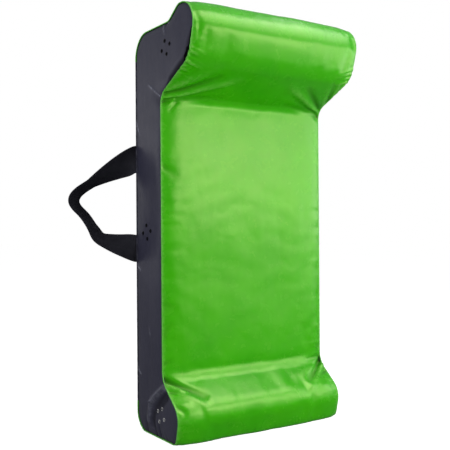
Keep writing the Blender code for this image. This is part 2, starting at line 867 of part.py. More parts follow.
def main():
    clear_scene()
    group = new_collection("tackle_wedge")
    cutters = new_collection("cutters")
    green = material("green_pvc", GREEN, 0.30)
    grey = material("grey_pvc", GREY, 0.35)
    black = material("black_webbing", BLACK, 0.80)
    tape = material("zip_tape", BLACK, 0.85)
    foam = material("foam", FOAM, 0.95)
    nickel = material("nickel", NICKEL, 0.25, 1.0)
    make_foam(group, foam)
    make_wrap(group, green)
    make_back_panel(group, cutters, grey)
    for side in (-1, 1):
        make_gusset(side, group, cutters, grey)
        make_loop(side, group, black)
        make_tabs(side, group, black)
    make_eyelets(group, nickel)
    make_zip_rows(group, tape, nickel)
    make_slider(group, cutters, nickel)
    make_pull(group, cutters, nickel)


main()
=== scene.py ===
"""Looks of the tackle wedge: sewn cover, webbing handles, zip, vents and foam, with stage and camera.

Metres, +Z up, the front towards -Y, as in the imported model. A point of the side view is
(depth, height), with the depth measured forwards from the back face. A place on the green wrap is
(across, run): run is the distance along the wrap from its seam low on the back, under the base, up
the front and over the top.
"""
import math

import bmesh
import bpy
import numpy as np
from mathutils import Matrix, Vector, noise


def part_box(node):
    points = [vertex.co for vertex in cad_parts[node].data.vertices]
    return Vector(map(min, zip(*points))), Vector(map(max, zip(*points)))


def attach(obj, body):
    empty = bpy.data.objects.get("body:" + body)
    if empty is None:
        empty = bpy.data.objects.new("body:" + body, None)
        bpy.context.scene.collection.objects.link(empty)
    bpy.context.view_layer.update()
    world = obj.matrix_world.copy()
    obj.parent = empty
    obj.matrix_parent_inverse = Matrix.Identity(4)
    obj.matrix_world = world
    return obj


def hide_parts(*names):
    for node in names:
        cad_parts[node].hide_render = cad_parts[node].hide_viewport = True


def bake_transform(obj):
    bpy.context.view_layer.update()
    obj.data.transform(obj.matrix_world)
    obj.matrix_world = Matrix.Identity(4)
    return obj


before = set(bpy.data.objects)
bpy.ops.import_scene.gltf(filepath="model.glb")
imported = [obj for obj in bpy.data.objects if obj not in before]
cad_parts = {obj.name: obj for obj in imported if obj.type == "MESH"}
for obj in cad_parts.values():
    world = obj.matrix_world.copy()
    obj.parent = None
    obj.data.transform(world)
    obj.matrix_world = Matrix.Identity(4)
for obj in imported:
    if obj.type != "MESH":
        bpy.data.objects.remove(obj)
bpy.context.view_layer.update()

SIDES = {-1: "left", 1: "right"}

# Cover thickness and crowns, as in the CAD
PVC = 0.0012
GAP = 0.0003
SEAM_LIP = 0.003
TOP_CROWN = 0.006
CREST_CROWN = 0.008
RECESS_CROWN = 0.012
BOTTOM_CROWN = 0.012
BACK_CROWN = 0.005
BACK_TOP_CROWN = 0.011
SADDLE_CROWN = 0.016
FRONT_SHARPNESS = 8.5
BACK_SHARPNESS = 5.0
GUSSET_CROWN = 0.005
GUSSET_RIM = PVC + GAP
GUSSET_SWELL = 0.0085
GUSSET_HOLD = 0.006
GUSSET_LEAST = 0.0004

# Driving sizes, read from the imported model
WRAP_LOW, WRAP_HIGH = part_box("front_panel")
BACK_LOW, BACK_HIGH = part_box("back_panel")
WIDTH = WRAP_HIGH.x - WRAP_LOW.x
HEIGHT = WRAP_HIGH.z - TOP_CROWN
BACK_FACE = BACK_HIGH.y - BACK_CROWN
BACK_SEAM_FOOT = BACK_LOW.z - GAP
BACK_SEAM_HEAD = BACK_HIGH.z + GAP
SLAB_DEPTH = 0.143

# Bolsters, and the radius of each corner of the side view
TOP_REACH = 0.183
TOP_FACE = 0.142
TOP_FACE_LEAN = 0.040
TOP_UNDERSIDE_DROP = 0.070
TOP_CREST = 0.090
SADDLE_DROP = 0.032
SADDLE_RUN = 0.050
BOTTOM_REACH = 0.086
BOTTOM_FACE = 0.078
BOTTOM_FACE_LEAN = 0.018
BOTTOM_SLOPE = 0.074
RADII = {
    "back foot": 0.052, "toe": 0.020, "nose": 0.052, "lower notch": 0.060, "upper notch": 0.041,
    "chin": 0.065, "brow": 0.058, "crest": 0.026, "saddle": 0.030, "back top": 0.064,
}
FOAM_CLEARANCE = 0.0045
FOAM_EDGE = 0.010
LEAST_RADIUS = 0.002

# Fineness of the cover's meshes
WRAP_STEP = 0.0045
WRAP_COLUMNS = 96
EDGE_CLUSTER = 0.6
GUSSET_COLUMNS = 84
GUSSET_ROWS = 330
FOOT_BEND = 0.12
HEAD_BEND = 0.16
BACK_ROWS = (12, 150, 16)
BACK_COLUMNS = 22
BACK_HOLD = 0.03

# Wrap: how near the seams and the base its folds are held, and how far its face swells
SEAM_HOLD = 0.004
SLACK_HOLD = 0.035
BASE_BAND = 0.004
FACE_SWELL = 0.006
FACE_SWELL_REACH = 0.046
FACE_SWELL_SHARPNESS = 4

# Places along the wrap: the corner, how far they lie past it, their reach and their amount
GATHERED = (("chin", -0.005, 0.055, 1), ("nose", 0, 0.05, 0.5))
FRILLED = (("chin", -0.015, 0.06, 0.0030), ("back foot", 0.04, 0.06, 0.0026))
LOOSE = (("nose", 0, 0.11, 0.8), ("chin", 0.09, 0.13, 0.6))
WRINKLED_FACE = ("chin", 0.05, 0.06, 1)
WRINKLED_FOOT = ("nose", -0.010, 0.05, 1)
LEAST_FRILL = 0.0005
LEAST_LOOSE = 0.22
FRILL_PITCH = 0.008
FRILL_REACH = 0.004

# Welts and hems, tubes along the seams: radius, unevenness and how deep they sit
WELT = 0.0013
WELT_UNEVEN = 0.18
BACK_WELT = 0.0012
BACK_WELT_UNEVEN = 0.2
BACK_WELT_WANDER = 0.0004
WELT_PITCH = 0.006
WELT_SINK = 0.0002
WELT_INSET = 0.0006
BACK_WELT_INSET = 0.0008
WELT_LEAST_HEIGHT = 0.0017

# Layers of slack: size of a wave across, its size along, seed, and height
WRAP_WAVES = ((0.16, 0.20, 3.0, 0.0022), (0.070, 0.110, 11.0, 0.0012), (0.017, 0.100, 21.0, 0.00030))
FACE_WRINKLES = (0.012, 0.150, 31.0, 0.0005)
FOOT_WRINKLES = (0.014, 0.040, 35.0, 0.0005)
GUSSET_WAVES = ((0.030, 0.160, 81.0, 0.0005), (0.070, 0.110, 91.0, 0.0012), (0.012, 0.050, 95.0, 0.00012))
BACK_WAVES = ((0.12, 0.18, 111.0, 0.0016), (0.05, 0.09, 121.0, 0.0005))

# Creases of the wrap: size across, size along, seed and depth
WRAP_CREASES = (0.050, 0.090, 41.0, 0.00035)
FOOT_CREASES = (0.030, 0.080, 45.0, 0.00050)

# Puckers along a seam: seed, pitch, depth and reach, and how unevenly they lie along the wrap
WRAP_PUCKERS = ((51.0, 0.024, 0.0027, 0.026), (61.0, 0.008, 0.0005, 0.008))
WRAP_GATHERS = (71.0, 0.009, 0.0064, 0.017)
GUSSET_PUCKERS = (0.020, 0.0012, 0.016)
BACK_PUCKERS = (131.0, 0.020, 0.0012, 0.014)
LEAST_PUCKER = 0.5
PUCKER_RANGE = 1.1
PUCKER_PATCH = 0.13
PUCKER_SHIFT = 3.7

# Folds of the wrap: the notch they start from, start and end as (inward from the side seam, run past the
# notch), width and height, below 0 for a crease, and where given the spread and the fading of fold()
FOLDS_BOTH_SIDES = (
    ("upper notch", (0.000, 0.014), (0.062, 0.132), 0.0055, 0.0030),
    ("upper notch", (0.000, 0.000), (0.130, 0.115), 0.0070, -0.0085, 1.5, 0.7),
    ("upper notch", (0.000, -0.006), (0.190, 0.108), 0.0070, 0.0085, 1.6, 0.7),
    ("upper notch", (0.004, -0.010), (0.150, 0.070), 0.0065, -0.0055, 1.5, 0.7),
    ("upper notch", (0.000, -0.016), (0.200, 0.040), 0.0080, -0.0040),
    ("lower notch", (0.000, 0.000), (0.096, -0.082), 0.0070, -0.0120, 1.5, 0.5),
    ("lower notch", (0.000, -0.014), (0.110, -0.100), 0.0070, 0.0070, 1.5, 0.7),
    ("lower notch", (0.000, -0.036), (0.054, -0.066), 0.0050, -0.0055, 1.2, 0.6),
    ("lower notch", (0.000, 0.036), (0.034, 0.050), 0.0050, -0.0030),
)
FOLDS_LEFT = (
    ("upper notch", (0.032, -0.004), (0.010, -0.036), 0.0035, 0.0040, 1.0, 0.6),
    ("upper notch", (0.042, -0.012), (0.018, -0.044), 0.0040, -0.0028, 1.0, 0.6),
    ("upper notch", (0.000, -0.180), (0.060, -0.215), 0.0080, -0.0030),
    ("upper notch", (0.020, 0.050), (0.110, 0.150), 0.0080, 0.0026, 1.6, 1.0),
    ("lower notch", (0.000, -0.084), (0.026, -0.108), 0.0045, -0.0045, 1.2, 0.7),
    ("lower notch", (0.026, -0.050), (0.090, -0.108), 0.0060, 0.0040, 1.3, 0.6),
    ("lower notch", (0.050, -0.058), (0.100, -0.092), 0.0050, -0.0040, 1.3, 0.7),
    ("lower notch", (0.000, 0.110), (0.030, 0.150), 0.0070, -0.0030),
    ("lower notch", (0.000, 0.190), (0.050, 0.180), 0.0080, -0.0022),
)
FOLDS_RIGHT = (
    ("lower notch", (0.004, -0.019), (0.140, -0.056), 0.0080, 0.0040, 1.4, 0.8),
    ("lower notch", (0.000, 0.010), (0.070, 0.000), 0.0060, -0.0040, 1.4, 0.8),
    ("lower notch", (0.000, 0.096), (0.040, 0.106), 0.0060, 0.0024),
    ("upper notch", (0.000, 0.040), (0.050, 0.138), 0.0055, -0.0050, 1.3, 0.7),
    ("upper notch", (0.000, 0.052), (0.030, 0.145), 0.0045, 0.0044, 1.2, 0.7),
    ("upper notch", (0.000, 0.004), (0.030, 0.034), 0.0040, 0.0036, 1.2, 0.7),
)

# Folds of a side panel, in the same way, on (depth, height)
FOLDS_GUSSET = (
    ((0.146, 0.882), (0.074, 0.927), 0.0026, 0.0022, 1.0, 0.4),
    ((0.150, 0.868), (0.088, 0.908), 0.0110, -0.0022),
    ((0.157, 1.070), (0.170, 1.036), 0.0024, 0.0020, 1.0, 0.4),
    ((0.196, 1.076), (0.173, 1.048), 0.0024, 0.0020, 1.0, 0.4),
    ((0.176, 1.066), (0.172, 1.044), 0.0070, -0.0016, 1.0, 0.6),
    ((0.002, 0.836), (0.032, 0.792), 0.0030, 0.0022, 1.0, 0.5),
    ((0.002, 0.446), (0.034, 0.428), 0.0030, 0.0020, 1.0, 0.5),
    ((0.002, 0.166), (0.034, 0.150), 0.0030, 0.0018, 1.0, 0.5),
    ((0.082, 0.264), (0.062, 0.304), 0.0026, 0.0009),
    ((0.155, 0.136), (0.084, 0.088), 0.0070, 0.0085, 1.2, 0.2),
    ((0.084, 0.088), (0.066, 0.030), 0.0070, 0.0080, 1.2, 0.4),
    ((0.160, 0.112), (0.104, 0.066), 0.0120, -0.0085, 1.2, 0.3),
    ((0.098, 0.060), (0.092, 0.020), 0.0100, -0.0050, 1.2, 0.4),
    ((0.112, 0.006), (0.083, 0.050), 0.0050, -0.0050, 1.0, 0.5),
    ((0.134, 0.010), (0.122, 0.050), 0.0040, -0.0036, 1.0, 0.5),
    ((0.060, 0.006), (0.052, 0.046), 0.0060, -0.0034, 1.0, 0.6),
)

# Pale wear and painted highlight at edges and fold ridges, and painted shade in creases, at rims and on the
# base: reach from an edge, and the height or depth of a fold at which they are full
EDGE_WEAR_AND_HIGHLIGHT = 0.0035
FOLD_HIGHLIGHT = 0.003
GATHER_WEAR_AND_HIGHLIGHT = 0.0012
FOLD_SHADE = 0.006
CREASE_HIGHLIGHT_FROM = 0.0003
CREASE_HIGHLIGHT = 0.0010
CREASE_SHADE = 0.0035
RIM_SHADE = 0.004
FOOT_HEIGHT = 0.145

# Run of cloth that slackens the wrap
CLOTH_FRAMES = 20
CLOTH_PRESSURE = 4.0
CLOTH_SLACK = 0.008
CLOTH_STIFFNESS = 4.0
CLOTH_BACKING = 0.30
CLOTH_CAP = 0.003

# Seam under the top bolster: the gap that opens along it, and the black strip of painted shadow that lies in
# it
GAP_MIDDLE = 0.962
GAP_REACH = 0.060
GAP_WIDTH = 0.0145
GAP_DEPTH = 0.0022
GAP_START = 0.155
GAP_RUN_IN = 0.04
SHADOW_STRIP_WIDTH = 0.0125
SHADOW_STRIP_THICKNESS = 0.0004
SHADOW_STRIP_LIFT = 0.0005
SHADOW_STRIP_COLUMNS = 8
SHADOW_STRIP_LEAST_DEPTH = 0.166
SHADOW_STRIP_FOOT = 0.86
SHADOW_STRIP_HEAD = 1.035

# Vents: hole, a dark disc behind it as painted shade, and the eyelet's section as (radius, height above the
# panel)
VENT_HOLE = 0.0036
SHADE_DISC_RADIUS = 0.0031
SHADE_DISC = 0.0004
SHADE_DISC_SINK = 0.0016
EYELET_SECTION = (
    (0.0028, -0.0030), (0.0028, 0.0002), (0.0031, 0.0007), (0.0037, 0.0009), (0.0046, 0.0008),
    (0.0052, 0.0005), (0.0055, 0.0000), (0.0053, -0.0002), (0.0036, -0.0002), (0.0035, -0.0030),
)

# Thread
STITCH_PITCH = 0.0045
STITCH_LENGTH = 0.0034
STITCH_RADIUS = 0.00045
STITCH_LIFT = 0.0002
STRAP_STITCH_LENGTH = 0.0036
STRAP_STITCH_RADIUS = 0.0005
STITCH_BATCH = 40
HEM_STITCH = 0.005
HEM_STITCH_END = 0.006
SLOT_STITCHES = (0.003, 0.0075)
STRAP_STITCH_RIM = 0.006
STRAP_STITCH_END = 0.010

# Webbing handles. The shape of the loop is in shares of its reach and of half its spacing.
WEB_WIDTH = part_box("handle_end_left_upper")[1].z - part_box("handle_end_left_upper")[0].z
WEB = 0.0024
HANDLE_HEIGHT = 0.612
HANDLE_SPACING = 0.2435
HANDLE_REACH = 0.167
HANDLE_SWEEP = math.radians(33)
HANDLE_STANDOFF = 0.003
TAB_LENGTH = 0.065
TAB_ROWS = 14
LOOP_TWIST = math.radians(-78)
LOOP_TWIST_REACH = 0.120
LOOP_TWIST_EASE = 0.6
LOOP_STRAIGHTEN = 0.045
LOOP_STEPS = 6
LOOP_SHAPE = (
    (0, 1.0), (0.20, 0.85), (0.47, 0.66), (0.72, 0.46), (0.89, 0.31), (0.98, 0.18), (1.0, 0.05),
    (0.95, -0.08), (0.82, -0.27), (0.68, -0.56), (0.585, -0.75), (0.40, -0.85), (0.15, -0.94), (0, -1.0),
)
WEB_COLUMNS = 16

# Zip
TOOTH_PITCH = 0.0060
TOOTH_START = 0.275
TOOTH_HEAD = 0.54
TOOTH_FOOT = 0.40
TOOTH_REACH = 0.0003
TOOTH_THICKNESS = 0.9
TOOTH_EDGE = 0.00035
ZIP_CORD = 0.0009
ZIP_CORD_INSET = 0.0006
ZIP_HEM = 0.0088
ZIP_TAIL = 0.014
ZIP_SLOT_END = 0.004

# Camera, fitted to the photo's seams
CAMERA_PLACE = Vector((-1.1739, -1.7190, 0.5473))
CAMERA_YAW = math.radians(33.14)
CAMERA_PITCH = math.radians(0.15)
CAMERA_ROLL = math.radians(-0.38)
FOCAL_PIXELS = 744.7
IMAGE_PIXELS = 450
SENSOR = 36.0


# The side view

def corner(depth, height, radius, crown=0.0, name=""):
    return {"at": Vector((depth, height)), "radius": radius, "crown": crown, "name": name}


def outline_corners():
    """The side view's corners at the seams, from the back foot round the front to the back top."""
    brow = SLAB_DEPTH + TOP_REACH
    chin_height = HEIGHT - TOP_FACE
    toe = SLAB_DEPTH + BOTTOM_REACH
    crest = brow - TOP_CREST
    saddle_height = HEIGHT - SADDLE_DROP
    places = {
        "back foot": (0, 0, BACK_CROWN),
        "toe": (toe - BOTTOM_FACE_LEAN, 0, BOTTOM_CROWN),
        "nose": (toe, BOTTOM_FACE, BOTTOM_CROWN),
        "lower notch": (SLAB_DEPTH, BOTTOM_FACE + BOTTOM_SLOPE, RECESS_CROWN),
        "upper notch": (SLAB_DEPTH, chin_height - TOP_UNDERSIDE_DROP, RECESS_CROWN),
        "chin": (brow - TOP_FACE_LEAN, chin_height, TOP_CROWN),
        "brow": (brow, HEIGHT, TOP_CROWN),
        "crest": (crest, HEIGHT, CREST_CROWN),
        "saddle": (crest - SADDLE_RUN, saddle_height, SADDLE_CROWN),
        "back top": (0, saddle_height, BACK_TOP_CROWN),
    }
    return [corner(*at, RADII[name], crown, name) for name, (*at, crown) in places.items()]


def left_of(direction):
    return Vector((-direction.y, direction.x))


def inset(corners, depth):
    """Corners of the outline moved inwards by depth, with radii that stay concentric."""
    moved = []
    for index, item in enumerate(corners):
        into = (item["at"] - corners[index - 1]["at"]).normalized()
        out = (corners[(index + 1) % len(corners)]["at"] - item["at"]).normalized()
        a, b = left_of(into), left_of(out)
        point = item["at"] + (a + b) * depth / (1 + a.dot(b))
        convex = into.cross(out) > 0
        radius = item["radius"] - depth if convex else item["radius"] + depth
        moved.append(corner(point.x, point.y, max(radius, LEAST_RADIUS), item["crown"], item["name"]))
    return moved


def rounded(before, item, after, step):
    """Points of the arc that rounds one corner, about step apart."""
    into = (item["at"] - before).normalized()
    out = (after - item["at"]).normalized()
    turn = math.atan2(into.cross(out), into.dot(out))
    side = 1 if turn > 0 else -1
    start = item["at"] - into * item["radius"] * math.tan(abs(turn) / 2)
    centre = start + left_of(into) * item["radius"] * side
    steps = max(4, round(abs(turn) * item["radius"] / step))
    arm = start - centre
    return [centre + Matrix.Rotation(turn * k / steps, 2) @ arm for k in range(steps + 1)]


def rounded_corners(corners, step):
    """The arc at each corner of a closed outline."""
    befores = [item["at"] for item in corners[-1:] + corners[:-1]]
    afters = [item["at"] for item in corners[1:] + corners[:1]]
    return [rounded(*stretch, step) for stretch in zip(befores, corners, afters)]


def closed_outline(corners, step):
    return np.array([point for arc in rounded_corners(corners, step) for point in arc])


def directions(line):
    """Unit vectors along a line at each of its points."""
    along = np.gradient(line, axis=0)
    along /= np.linalg.norm(along, axis=1)[:, None]
    return along


def wrap_rows():
    """The wrap's side view as arrays: points, outward normals, crowns, runs, and each corner's run."""
    corners = outline_corners()
    foot = Vector((0, BACK_SEAM_FOOT))
    head = Vector((0, BACK_SEAM_HEAD))
    knots = [foot] + [item["at"] for item in corners] + [head]
    path = [(foot, BACK_CROWN, "")]
    for before, item, after in zip(knots, corners, knots[2:]):
        arc = rounded(before, item, after, WRAP_STEP)
        for k, point in enumerate(arc):
            path.append((point, item["crown"], item["name"] if k == len(arc) // 2 else ""))
    path.append((head, BACK_CROWN, ""))
    points, crowns, runs = [foot], [BACK_CROWN], [0.0]
    marks = {}
    for (a, crown_a, _), (b, crown_b, name) in zip(path, path[1:]):
        pieces = max(1, math.ceil((b - a).length / WRAP_STEP))
        for k in range(1, pieces + 1):
            points.append(a.lerp(b, k / pieces))
            crowns.append(crown_a + (crown_b - crown_a) * k / pieces)
            runs.append(runs[-1] + (b - a).length / pieces)
        if name:
            marks[name] = runs[-1]
    points = np.array(points)
    along = directions(points)
    normals = np.stack([along[:, 1], -along[:, 0]], axis=1)
    return points, normals, np.array(crowns), np.array(runs), marks


def crown_share(x, sharpness):
    return 1 - np.minimum(1, np.abs(2 * x / WIDTH)) ** sharpness


def back_surface(x):
    return BACK_FACE + BACK_CROWN * float(crown_share(x, BACK_SHARPNESS))


# Fields of small moves, all given on arrays of places

def bell(away, reach, power=2):
    """1 in the middle, and next to nothing at twice reach."""
    return np.exp(-(away / reach) ** power)


def fading(away, reach):
    """1 at a seam, and next to nothing at a few times reach."""
    return np.exp(-away / reach)


def clipped(value, high=1):
    return np.clip(value, 0, high)


def smooth_noise(a, b, seed):
    """Smooth noise from -1 to 1 at places (a, b), in cells of size 1."""
    a, b = np.broadcast_arrays(a, b)
    values = [noise.noise(Vector((p, q, seed))) for p, q in zip(a.ravel(), b.ravel())]
    return np.array(values).reshape(a.shape)


def ripple(run, seed):
    """Smooth noise from -1 to 1 along one direction."""
    return smooth_noise(run, 0 * run, seed)


def welt(run, seed, radius, uneven):
    """Radii of a tube that swells and thins along a seam."""
    return radius * (1 + uneven * ripple(run / WELT_PITCH, seed))


def waves(a, b, *layers):
    return sum(smooth_noise(a / across, b / along, seed) * height for across, along, seed, height in layers)


def fold(a, b, start, end, width, height, spread=1.6, tail=1.2):
    """One fold on places (a, b), which gets wider and fades from start to end."""
    span = np.subtract(end, start)
    share = ((a - start[0]) * span[0] + (b - start[1]) * span[1]) / span.dot(span)
    held = clipped(share)
    away = np.hypot(a - start[0] - held * span[0], b - start[1] - held * span[1])
    wide = width * (1 + (spread - 1) * held)
    return height * (1 - held) ** tail * bell(away, wide)


def seam_puckers(distance, run, seed, pitch, depth, reach):
    """Small dents that start at a seam and fade within reach of it."""
    bumps = ripple(run / pitch, seed) + 0.5 * ripple(run * 2.3 / pitch, seed + 5)
    return depth * bumps * fading(distance, reach)


def creases(a, b, across, along, seed, depth):
    """Fine creases with sharp valleys on places (a, b), in cells of the given size."""
    a, b = a / across, b / along
    bent = a + 0.35 * smooth_noise(a * 0.6, b * 0.6, seed + 7.0)
    return -clipped(1 - 7 * np.abs(smooth_noise(bent, b, seed))) ** 1.5 * depth


def along_wrap(run, marks, *spots):
    """Sum of bells at places along the wrap, each past one of its corners."""
    return sum(amount * bell(run - marks[name] - past, reach) for name, past, reach, amount in spots)


def grid_of(*fields):
    """Fields of coordinates as one array of places."""
    return np.stack(np.broadcast_arrays(*fields), axis=-1)


# Making objects

def add(name, mesh, surface, rides=True, replaced=()):
    """A piece of the visual model, with its finish, standing for the CAD nodes named."""
    item = bpy.data.objects.new(name, mesh)
    mesh.materials.clear()
    mesh.materials.append(surface)
    bpy.context.scene.collection.objects.link(item)
    if rides:
        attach(item, "wedge")
    if replaced:
        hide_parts(*replaced)
    return item


def mesh_from(work, name):
    """The finished mesh of a bmesh, which is freed."""
    mesh = bpy.data.meshes.new(name)
    work.to_mesh(mesh)
    work.free()
    return mesh


def points_of(mesh):
    spots = np.empty(len(mesh.vertices) * 3)
    mesh.vertices.foreach_get("co", spots)
    return spots.reshape(-1, 3)


def sheet_mesh(name, places, flat, tones=None):
    """An open grid mesh. places[row, column] are its points, and flat its UV map in metres."""
    rows, columns = places.shape[0] - 1, places.shape[1] - 1
    work = bmesh.new()
    bmesh.ops.create_grid(work, x_segments=columns, y_segments=rows, size=0.5)
    mesh = mesh_from(work, name)
    spots = points_of(mesh)
    column = np.rint((spots[:, 0] + 0.5) * columns).astype(int)
    row = np.rint((spots[:, 1] + 0.5) * rows).astype(int)
    mesh.vertices.foreach_set("co", places[row, column].ravel())
    corners = np.empty(len(mesh.loops), dtype=int)
    mesh.loops.foreach_get("vertex_index", corners)
    layer = mesh.uv_layers.new(name="fabric")
    layer.uv.foreach_set("vector", flat[row, column][corners].ravel())
    for tone, values in (tones or {}).items():
        field = mesh.attributes.new(tone, "FLOAT", "POINT")
        field.data.foreach_set("value", values[row, column].astype(np.float32))
    mesh.shade_smooth()
    mesh.update()
    return mesh


def face_outwards(item, towards):
    """Turns an open sheet's faces over if the ones at its middle look away from towards."""
    mesh = item.data
    middle = mesh.polygons[len(mesh.polygons) // 2]
    if middle.normal.dot(Vector(towards)) < 0:
        mesh.flip_normals()


def solidify(item, thickness, offset=-1):
    wall = item.modifiers.new("wall", "SOLIDIFY")
    wall.thickness = thickness
    wall.offset = offset
    wall.use_even_offset = True


def subdivide(item, levels):
    smooth = item.modifiers.new("smooth", "SUBSURF")
    smooth.levels = levels
    smooth.render_levels = levels


def as_shown(item):
    """An object with its modifiers worked out."""
    return item.evaluated_get(bpy.context.evaluated_depsgraph_get())


def add_tube(name, places, radii, surface):
    """A round tube through places, closed at its ends."""
    curve = bpy.data.curves.new(name, "CURVE")
    curve.dimensions = "3D"
    curve.bevel_depth = 1.0
    curve.bevel_resolution = 2
    curve.use_fill_caps = True
    line = curve.splines.new("POLY")
    line.points.add(len(places) - 1)
    for spot, place, radius in zip(line.points, places, radii):
        spot.co = (*place, 1)
        spot.radius = radius
    holder = bpy.data.objects.new(name, curve)
    bpy.context.scene.collection.objects.link(holder)
    bpy.context.view_layer.update()
    mesh = bpy.data.meshes.new_from_object(as_shown(holder))
    bpy.data.objects.remove(holder)
    mesh.shade_smooth()
    add(name, mesh, surface)


def sew(name, lines, stitch, thread):
    """Raised stitches on the back along straight lines, each from start to end as (x, height)."""
    lift, length, radius = stitch
    out = Vector((0, 1, 0))
    size = Matrix.Diagonal((length / 2, radius, radius * 0.8, 1))
    turns = []
    for start, end in lines:
        start, end = Vector(start), Vector(end)
        way = Vector((end.x - start.x, 0, end.y - start.y)).normalized()
        turn = Matrix((way, out.cross(way).normalized(), out)).transposed().to_4x4()
        count = max(1, int((end - start).length / STITCH_PITCH))
        for k in range(count):
            spot = start.lerp(end, (k + 0.5) / count)
            place = Matrix.Translation((spot.x, back_surface(spot.x) + lift, spot.y))
            turns.append(place @ turn @ size)
    whole = bmesh.new()
    for first in range(0, len(turns), STITCH_BATCH):
        work = bmesh.new()
        for turn in turns[first:first + STITCH_BATCH]:
            bmesh.ops.create_uvsphere(work, u_segments=6, v_segments=4, radius=1.0, matrix=turn)
        batch = mesh_from(work, name)
        whole.from_mesh(batch)
        bpy.data.meshes.remove(batch)
    mesh = mesh_from(whole, name)
    mesh.shade_smooth()
    add(name, mesh, thread)


# Nodes of materials

def new_material(name, roughness, specular, metallic=0.0):
    surface = bpy.data.materials.new(name)
    surface.use_nodes = True
    shader = surface.node_tree.nodes["Principled BSDF"]
    shader.inputs["Roughness"].default_value = roughness
    shader.inputs["Specular IOR Level"].default_value = specular
    shader.inputs["Metallic"].default_value = metallic
    return surface, surface.node_tree, shader


def feed(tree, socket, value):
    """Links a socket to another node's output, or sets its value."""
    if isinstance(value, bpy.types.NodeSocket):
        tree.links.new(value, socket)
    else:
        socket.default_value = value


def put(tree, kind, **settings):
    """A node with its settings. A setting that names an input may be a value or another node's output."""
    item = tree.nodes.new(kind)
    for key, value in settings.items():
        if hasattr(item, key):
            setattr(item, key, value)
        else:
            feed(tree, item.inputs[key.replace("_", " ")], value)
    return item


def dress(tree, shader, tint, normal, rough=None):
    """Sends a colour, a normal and a roughness to the shader."""
    tree.links.new(tint, shader.inputs["Base Color"])
    tree.links.new(normal, shader.inputs["Normal"])
    if rough is not None:
        tree.links.new(rough, shader.inputs["Roughness"])


def maths(tree, operation, a, b=0.0):
    item = put(tree, "ShaderNodeMath", operation=operation)
    for socket, value in zip(item.inputs, (a, b)):
        feed(tree, socket, value)
    return item.outputs[0]


def ramp(tree, value, low, high, start=0.0, end=1.0):
    """Maps value from start..end to low..high, held at both ends."""
    item = put(tree, "ShaderNodeMapRange", Value=value, From_Min=start, From_Max=end, To_Min=low, To_Max=high)
    return item.outputs["Result"]


def mix_colours(tree, share, a, b):
    item = put(tree, "ShaderNodeMix", data_type="RGBA", Factor=share)
    sockets = [socket for socket in item.inputs if socket.type == "RGBA"]
    for socket, value in zip(sockets, (a, b)):
        feed(tree, socket, (*value, 1) if isinstance(value, tuple) else value)
    return [socket for socket in item.outputs if socket.type == "RGBA"][0]


def object_place(tree):
    return put(tree, "ShaderNodeTexCoord").outputs["Object"]


def fabric_place(tree):
    return put(tree, "ShaderNodeUVMap", uv_map="fabric").outputs["UV"]


def attribute(tree, name):
    return put(tree, "ShaderNodeAttribute", attribute_name=name).outputs["Fac"]


def noise_value(tree, place, scale, detail=2.0, roughness=0.5):
    item = put(tree, "ShaderNodeTexNoise", Vector=place, Scale=scale, Detail=detail, Roughness=roughness)
    return item.outputs["Fac"]


def plain_weave(tree, place, pitch_a, pitch_b):
    """Height from 0 to 1 of threads that go over and under each other, on a flat map in metres."""
    axes = put(tree, "ShaderNodeSeparateXYZ", Vector=place)
    wave_a = maths(tree, "SINE", maths(tree, "MULTIPLY", axes.outputs[0], math.pi / pitch_a))
    wave_b = maths(tree, "SINE", maths(tree, "MULTIPLY", axes.outputs[1], math.pi / pitch_b))
    return maths(tree, "ADD", maths(tree, "MULTIPLY", maths(tree, "MULTIPLY", wave_a, wave_b), 0.5), 0.5)


def bump(tree, height, distance, before=None):
    item = put(tree, "ShaderNodeBump", Distance=distance, Height=height)
    if before is not None:
        tree.links.new(before, item.inputs["Normal"])
    return item.outputs["Normal"]


# Finishes

def coated_fabric(name, colour, deep, worn_and_lit, roughness, specular, sheen=(1, 1, 1)):
    """Plasticised fabric: a smooth coat that lets its scrim show, soft mottling, pale colour at edges and
    fold ridges that is partly wear and partly painted highlight, and painted shade in its creases and at its
    rims.
    """
    surface, tree, shader = new_material(name, roughness, specular)
    shader.inputs["Specular Tint"].default_value = (*sheen, 1)
    flat = fabric_place(tree)
    place = object_place(tree)
    wear_and_highlight = attribute(tree, "wear_and_highlight")
    mottle = noise_value(tree, place, 9.0, 4.0, 0.55)
    tint = mix_colours(tree, ramp(tree, mottle, 0.0, 1.0, 0.35, 0.65), deep, colour)
    patchy = ramp(tree, noise_value(tree, place, 120.0, 3.0), 0.3, 1.0, 0.4, 0.6)
    # Pale colour at seam edges and fold ridges: partly wear, partly painted highlight.
    tint = mix_colours(tree, maths(tree, "MULTIPLY", wear_and_highlight, patchy), tint, worn_and_lit)
    # Painted shade: creases, rims, the gap under the top bolster and the base are darkened towards a
    # near-black green, and made rougher.
    painted_shade_share = maths(tree, "MULTIPLY", attribute(tree, "painted_shade"), 0.5)
    tint = mix_colours(tree, painted_shade_share, tint, tuple(c * 0.2 for c in deep))
    patches = noise_value(tree, place, 30.0, 5.0, 0.6)
    rough = ramp(tree, patches, roughness - 0.04, roughness + 0.05, 0.3, 0.7)
    rough = maths(tree, "ADD", rough, maths(tree, "MULTIPLY", wear_and_highlight, 0.15))
    rough = maths(tree, "ADD", rough, maths(tree, "MULTIPLY", painted_shade_share, 0.5))
    normal = bump(tree, plain_weave(tree, flat, 0.0011, 0.0011), 0.00003)
    normal = bump(tree, noise_value(tree, place, 700.0, 2.0), 0.00006, normal)
    normal = bump(tree, noise_value(tree, place, 60.0, 3.0), 0.00025, normal)
    dress(tree, shader, tint, normal, rough)
    return surface


